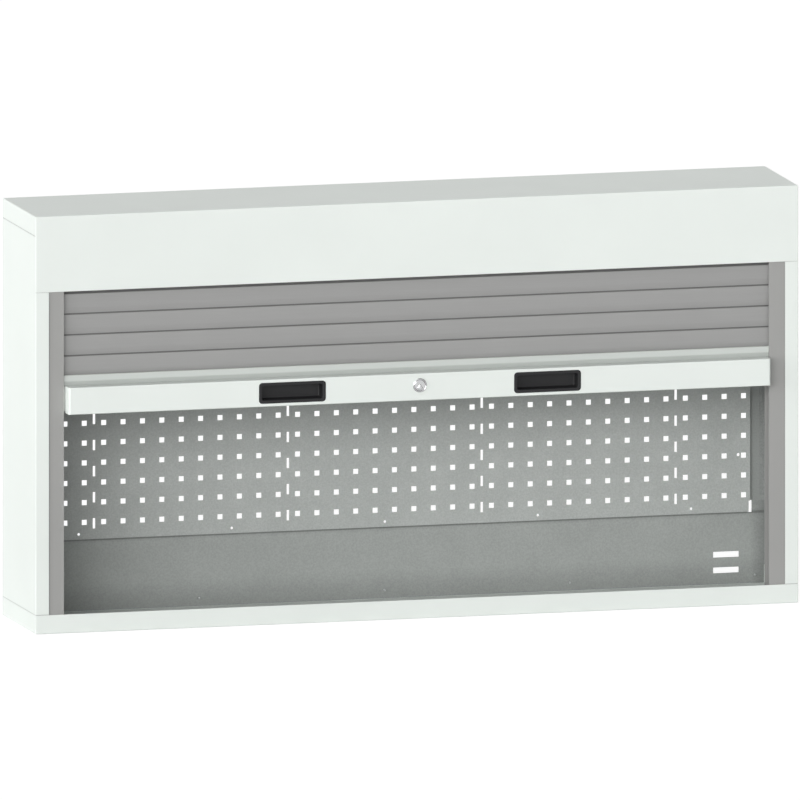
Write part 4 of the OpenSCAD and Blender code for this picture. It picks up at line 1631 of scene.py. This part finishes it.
@dataclass
class Lock(SubAssembly):
    """The cylinder lock in the bar, its plug with the key cover, and the two lock bars."""

    rim_inner: float = 10.6 * MM
    rim_steps: int = 12
    body_radius: float = 12.0 * MM
    thread_depth: float = 0.5 * MM
    thread_pitch: float = 1.0 * MM
    disc_drop: float = 1.5 * MM
    cover_width: float = 11.6 * MM
    cover_height: float = 11.8 * MM
    cover_rise: float = 3.7 * MM
    count: int = 64

    def build(self) -> None:
        """Dresses the bars and the pinion, and builds the housing, the plug and the nut."""
        self.dress(ZINC, "lock_bar_left", "lock_bar_right", "lock_pinion")
        self.build_housing()
        self.build_plug()
        self.build_nut()

    @property
    def axis(self) -> Vector:
        """The lock's axis at the front of its rim."""
        low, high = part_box("lock_housing")
        return Vector(((low.x + high.x) / 2.0, low.y, (low.z + high.z) / 2.0))

    def build_housing(self) -> None:
        """Turns the housing: a round rim in front of the bar and a threaded body behind it."""
        low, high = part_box("lock_housing")
        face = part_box("handle_bar")[0].y - low.y
        outer = (high.x - low.x) / 2.0
        root = self.body_radius - self.thread_depth
        depth = high.y - low.y
        crown = (outer - self.rim_inner) / 2.0
        profile = []
        for i in range(self.rim_steps + 1):
            angle = math.pi * i / self.rim_steps
            drop = face if angle < math.pi / 2.0 else self.disc_drop
            profile.append((drop * (1.0 - math.sin(angle)), outer - crown * (1.0 - math.cos(angle))))
        profile += [(depth, self.rim_inner), (depth, root)]
        pitch = self.thread_pitch
        turns = int((depth - face - 2.0 * pitch) / pitch)
        for i in range(turns):
            x = depth - pitch * (i + 1.0)
            profile += [(x, self.body_radius), (x - pitch / 2.0, root)]
        profile.append((face, self.body_radius))
        housing = Shape()
        housing.turned(profile, self.count, closed=True)
        self.place(housing.moved(spin(self.axis, "Y")), "lock_rim", CHROME, Body.SHUTTER, "lock_housing")

    def cover(self, share: float, x: float) -> list[Vector]:
        """Draws the key cover's drop outline, drawn in towards its lower middle.

        Args:
            share: Its size, as a share of the full outline.
            x: Its height in front of the disc, counted backwards.

        Returns:
            The points.
        """
        half = self.cover_width / 2.0
        plan = rounded([
            Corner(0.0, 0.0, 1.6 * MM),
            Corner(-half, -self.cover_height * 0.72, 3.2 * MM),
            Corner(-half * 0.55, -self.cover_height, 3.0 * MM),
            Corner(half * 0.55, -self.cover_height, 3.0 * MM),
            Corner(half, -self.cover_height * 0.72, 3.2 * MM),
        ], math.radians(15.0))
        anchor = Vector((0.0, -self.cover_height * 0.66))
        points = []
        for p in plan:
            q = anchor + (p - anchor) * share
            points.append(Vector((x, -q.x, q.y + self.cover_rise)))
        return points

    def build_plug(self) -> None:
        """Turns the plug and raises the drop-shaped key cover in front of its disc."""
        low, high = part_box("lock_plug")
        spindle = 4.0 * MM
        body_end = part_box("lock_housing")[1].y - low.y
        radius = (high.x - low.x) / 2.0
        disc = self.disc_drop
        plug = Shape()
        rings = plug.loft([
            round_section(disc, radius - 0.5 * MM, self.count),
            round_section(disc + 0.15 * MM, radius - 0.15 * MM, self.count),
            round_section(disc + 0.6 * MM, radius, self.count),
            round_section(body_end, radius, self.count),
            round_section(body_end, spindle, self.count),
            round_section(high.y - low.y, spindle, self.count),
        ])
        foot = plug.ring(self.cover(1.0, disc))
        plug.fill([rings[0], foot])
        plug.fill([rings[-1]])
        crown = [(0.97, 0.72), (0.86, 0.40), (0.66, 0.16), (0.40, 0.04)]
        before = foot
        for share, drop in crown:
            after = plug.ring(self.cover(share, disc * drop))
            plug.bridge(before, after)
            before = after
        plug.fill([before])
        self.place(plug.moved(spin(self.axis, "Y")), "lock_plug_face", CHROME, Body.LOCK_CORE, "lock_plug")

    def build_nut(self) -> None:
        """Builds the hexagon nut that holds the housing in the bar."""
        low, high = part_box("lock_nut")
        nut = HexNut(high.x - low.x, high.y - low.y, 23.6 * MM)
        ring = nut.shape().moved(spin(Vector((self.axis.x, low.y, self.axis.z)), "Y"))
        self.place(ring, "lock_ring_nut", ZINC, Body.SHUTTER, "lock_nut")


# ---------------------------------------------------------------- studio


@dataclass(frozen=True)
class Lamp:
    """One large soft lamp, far off and low, as a lit wall of the studio would be."""

    name: str
    power: float
    azimuth: float
    elevation: float = math.radians(4.0)
    softness: float = math.radians(50.0)

    def build(self) -> bpy.types.Object:
        """Makes the lamp. Its azimuth runs from the front towards the right, seen from above.

        Returns:
            The lamp.
        """
        data = bpy.data.lights.new(self.name, "SUN")
        data.energy = self.power
        data.angle = self.softness
        lamp = bpy.data.objects.new(self.name, data)
        level = math.cos(self.elevation)
        way = Vector((
            math.sin(self.azimuth) * level,
            -math.cos(self.azimuth) * level,
            math.sin(self.elevation),
        ))
        lamp.rotation_mode = "QUATERNION"
        lamp.rotation_quaternion = (-way).to_track_quat("-Z", "Y")
        lamp.location = way * 3.0
        bpy.context.scene.collection.objects.link(lamp)
        return lamp


@dataclass
class Studio:
    """A plain pale floor, a plain sky and soft lamps at the front, the left and the back."""

    floor_size: float = 40.0
    floor_bounce: float = 0.62
    floor_shown: float = 0.25
    floor_glow: float = 0.87
    sky: float = 0.385
    lamps: tuple[Lamp, ...] = (
        Lamp("front_lamp", 2.8, math.radians(-30.0)),
        Lamp("left_lamp", 2.1, math.radians(-80.0)),
        Lamp("back_lamp", 1.2, math.radians(105.0)),
    )

    def build(self) -> None:
        """Makes the floor, the world and the lamps."""
        self.build_floor()
        self.build_world()
        for lamp in self.lamps:
            lamp.build()
        bpy.context.scene.view_settings.view_transform = "Standard"

    @staticmethod
    def seen_directly(tree: bpy.types.NodeTree) -> Socket:
        """Tells the rays that show the background from those that only light the object.

        Args:
            tree: The node tree that asks.

        Returns:
            A field that is 1 for camera, glossy and transmission rays.
        """
        path = tree.nodes.new("ShaderNodeLightPath")
        total = path.outputs["Is Camera Ray"]
        for name in ("Is Glossy Ray", "Is Transmission Ray"):
            add = tree.nodes.new("ShaderNodeMath")
            add.operation = "ADD"
            add.use_clamp = True
            tree.links.new(total, add.inputs[0])
            tree.links.new(path.outputs[name], add.inputs[1])
            total = add.outputs["Value"]
        return total

    def build_floor(self) -> None:
        """Lays the floor. It looks white and still keeps the object's shadow."""
        half = self.floor_size / 2.0
        floor = Shape()
        floor.fill([floor.ring([
            Vector((-half, -half, 0.0)), Vector((half, -half, 0.0)),
            Vector((half, half, 0.0)), Vector((-half, half, 0.0)),
        ])])
        mesh = bpy.data.meshes.new("studio_floor")
        mesh.from_pydata([tuple(p) for p in floor.points], [], floor.faces)
        piece = bpy.data.objects.new("studio_floor", mesh)
        bpy.context.scene.collection.objects.link(piece)
        mesh.materials.append(self.floor_material())
        piece.location.z = -0.2 * MM

    def floor_material(self) -> bpy.types.Material:
        """Makes the floor's paper.

        Returns:
            The material.
        """
        material = bpy.data.materials.new("floor_paper")
        material.use_nodes = True
        tree = material.node_tree
        tree.nodes.clear()
        output = tree.nodes.new("ShaderNodeOutputMaterial")
        bounce = tree.nodes.new("ShaderNodeBsdfDiffuse")
        bounce.inputs["Color"].default_value = (*[self.floor_bounce] * 3, 1.0)
        shown = tree.nodes.new("ShaderNodeBsdfDiffuse")
        shown.inputs["Color"].default_value = (*[self.floor_shown] * 3, 1.0)
        glow = tree.nodes.new("ShaderNodeEmission")
        glow.inputs["Strength"].default_value = self.floor_glow
        lit = tree.nodes.new("ShaderNodeAddShader")
        choose = tree.nodes.new("ShaderNodeMixShader")
        tree.links.new(shown.outputs["BSDF"], lit.inputs[0])
        tree.links.new(glow.outputs["Emission"], lit.inputs[1])
        tree.links.new(self.seen_directly(tree), choose.inputs["Fac"])
        tree.links.new(bounce.outputs["BSDF"], choose.inputs[1])
        tree.links.new(lit.outputs["Shader"], choose.inputs[2])
        tree.links.new(choose.outputs["Shader"], output.inputs["Surface"])
        return material

    def build_world(self) -> None:
        """Makes a plain sky that is white where it is seen and softer where it lights."""
        world = bpy.data.worlds.new("studio_sky")
        bpy.context.scene.world = world
        world.use_nodes = True
        tree = world.node_tree
        tree.nodes.clear()
        output = tree.nodes.new("ShaderNodeOutputWorld")
        light = tree.nodes.new("ShaderNodeBackground")
        light.inputs["Strength"].default_value = self.sky
        seen = tree.nodes.new("ShaderNodeBackground")
        seen.inputs["Strength"].default_value = 1.0
        for background in (light, seen):
            background.inputs["Color"].default_value = (1.0, 1.0, 1.0, 1.0)
        choose = tree.nodes.new("ShaderNodeMixShader")
        tree.links.new(self.seen_directly(tree), choose.inputs["Fac"])
        tree.links.new(light.outputs["Background"], choose.inputs[1])
        tree.links.new(seen.outputs["Background"], choose.inputs[2])
        tree.links.new(choose.outputs["Shader"], output.inputs["Surface"])


# ---------------------------------------------------------------- main


def main() -> None:
    """Builds the camera, the studio and the cabinet's sub-assemblies in order."""
    logging.basicConfig(level=logging.INFO, format="%(name)s %(message)s")
    Viewpoint().build()
    Studio().build()
    parts: list[SubAssembly] = [
        Case(), Back(), Guides(), Barrel(), Curtain(), HandleBar(),
        Grip(Side.LEFT), Grip(Side.RIGHT), Lock(),
    ]
    for part in parts:
        part.build()
        LOG.info("%s is dressed", type(part).__name__)


if __name__ == "__main__":
    main()
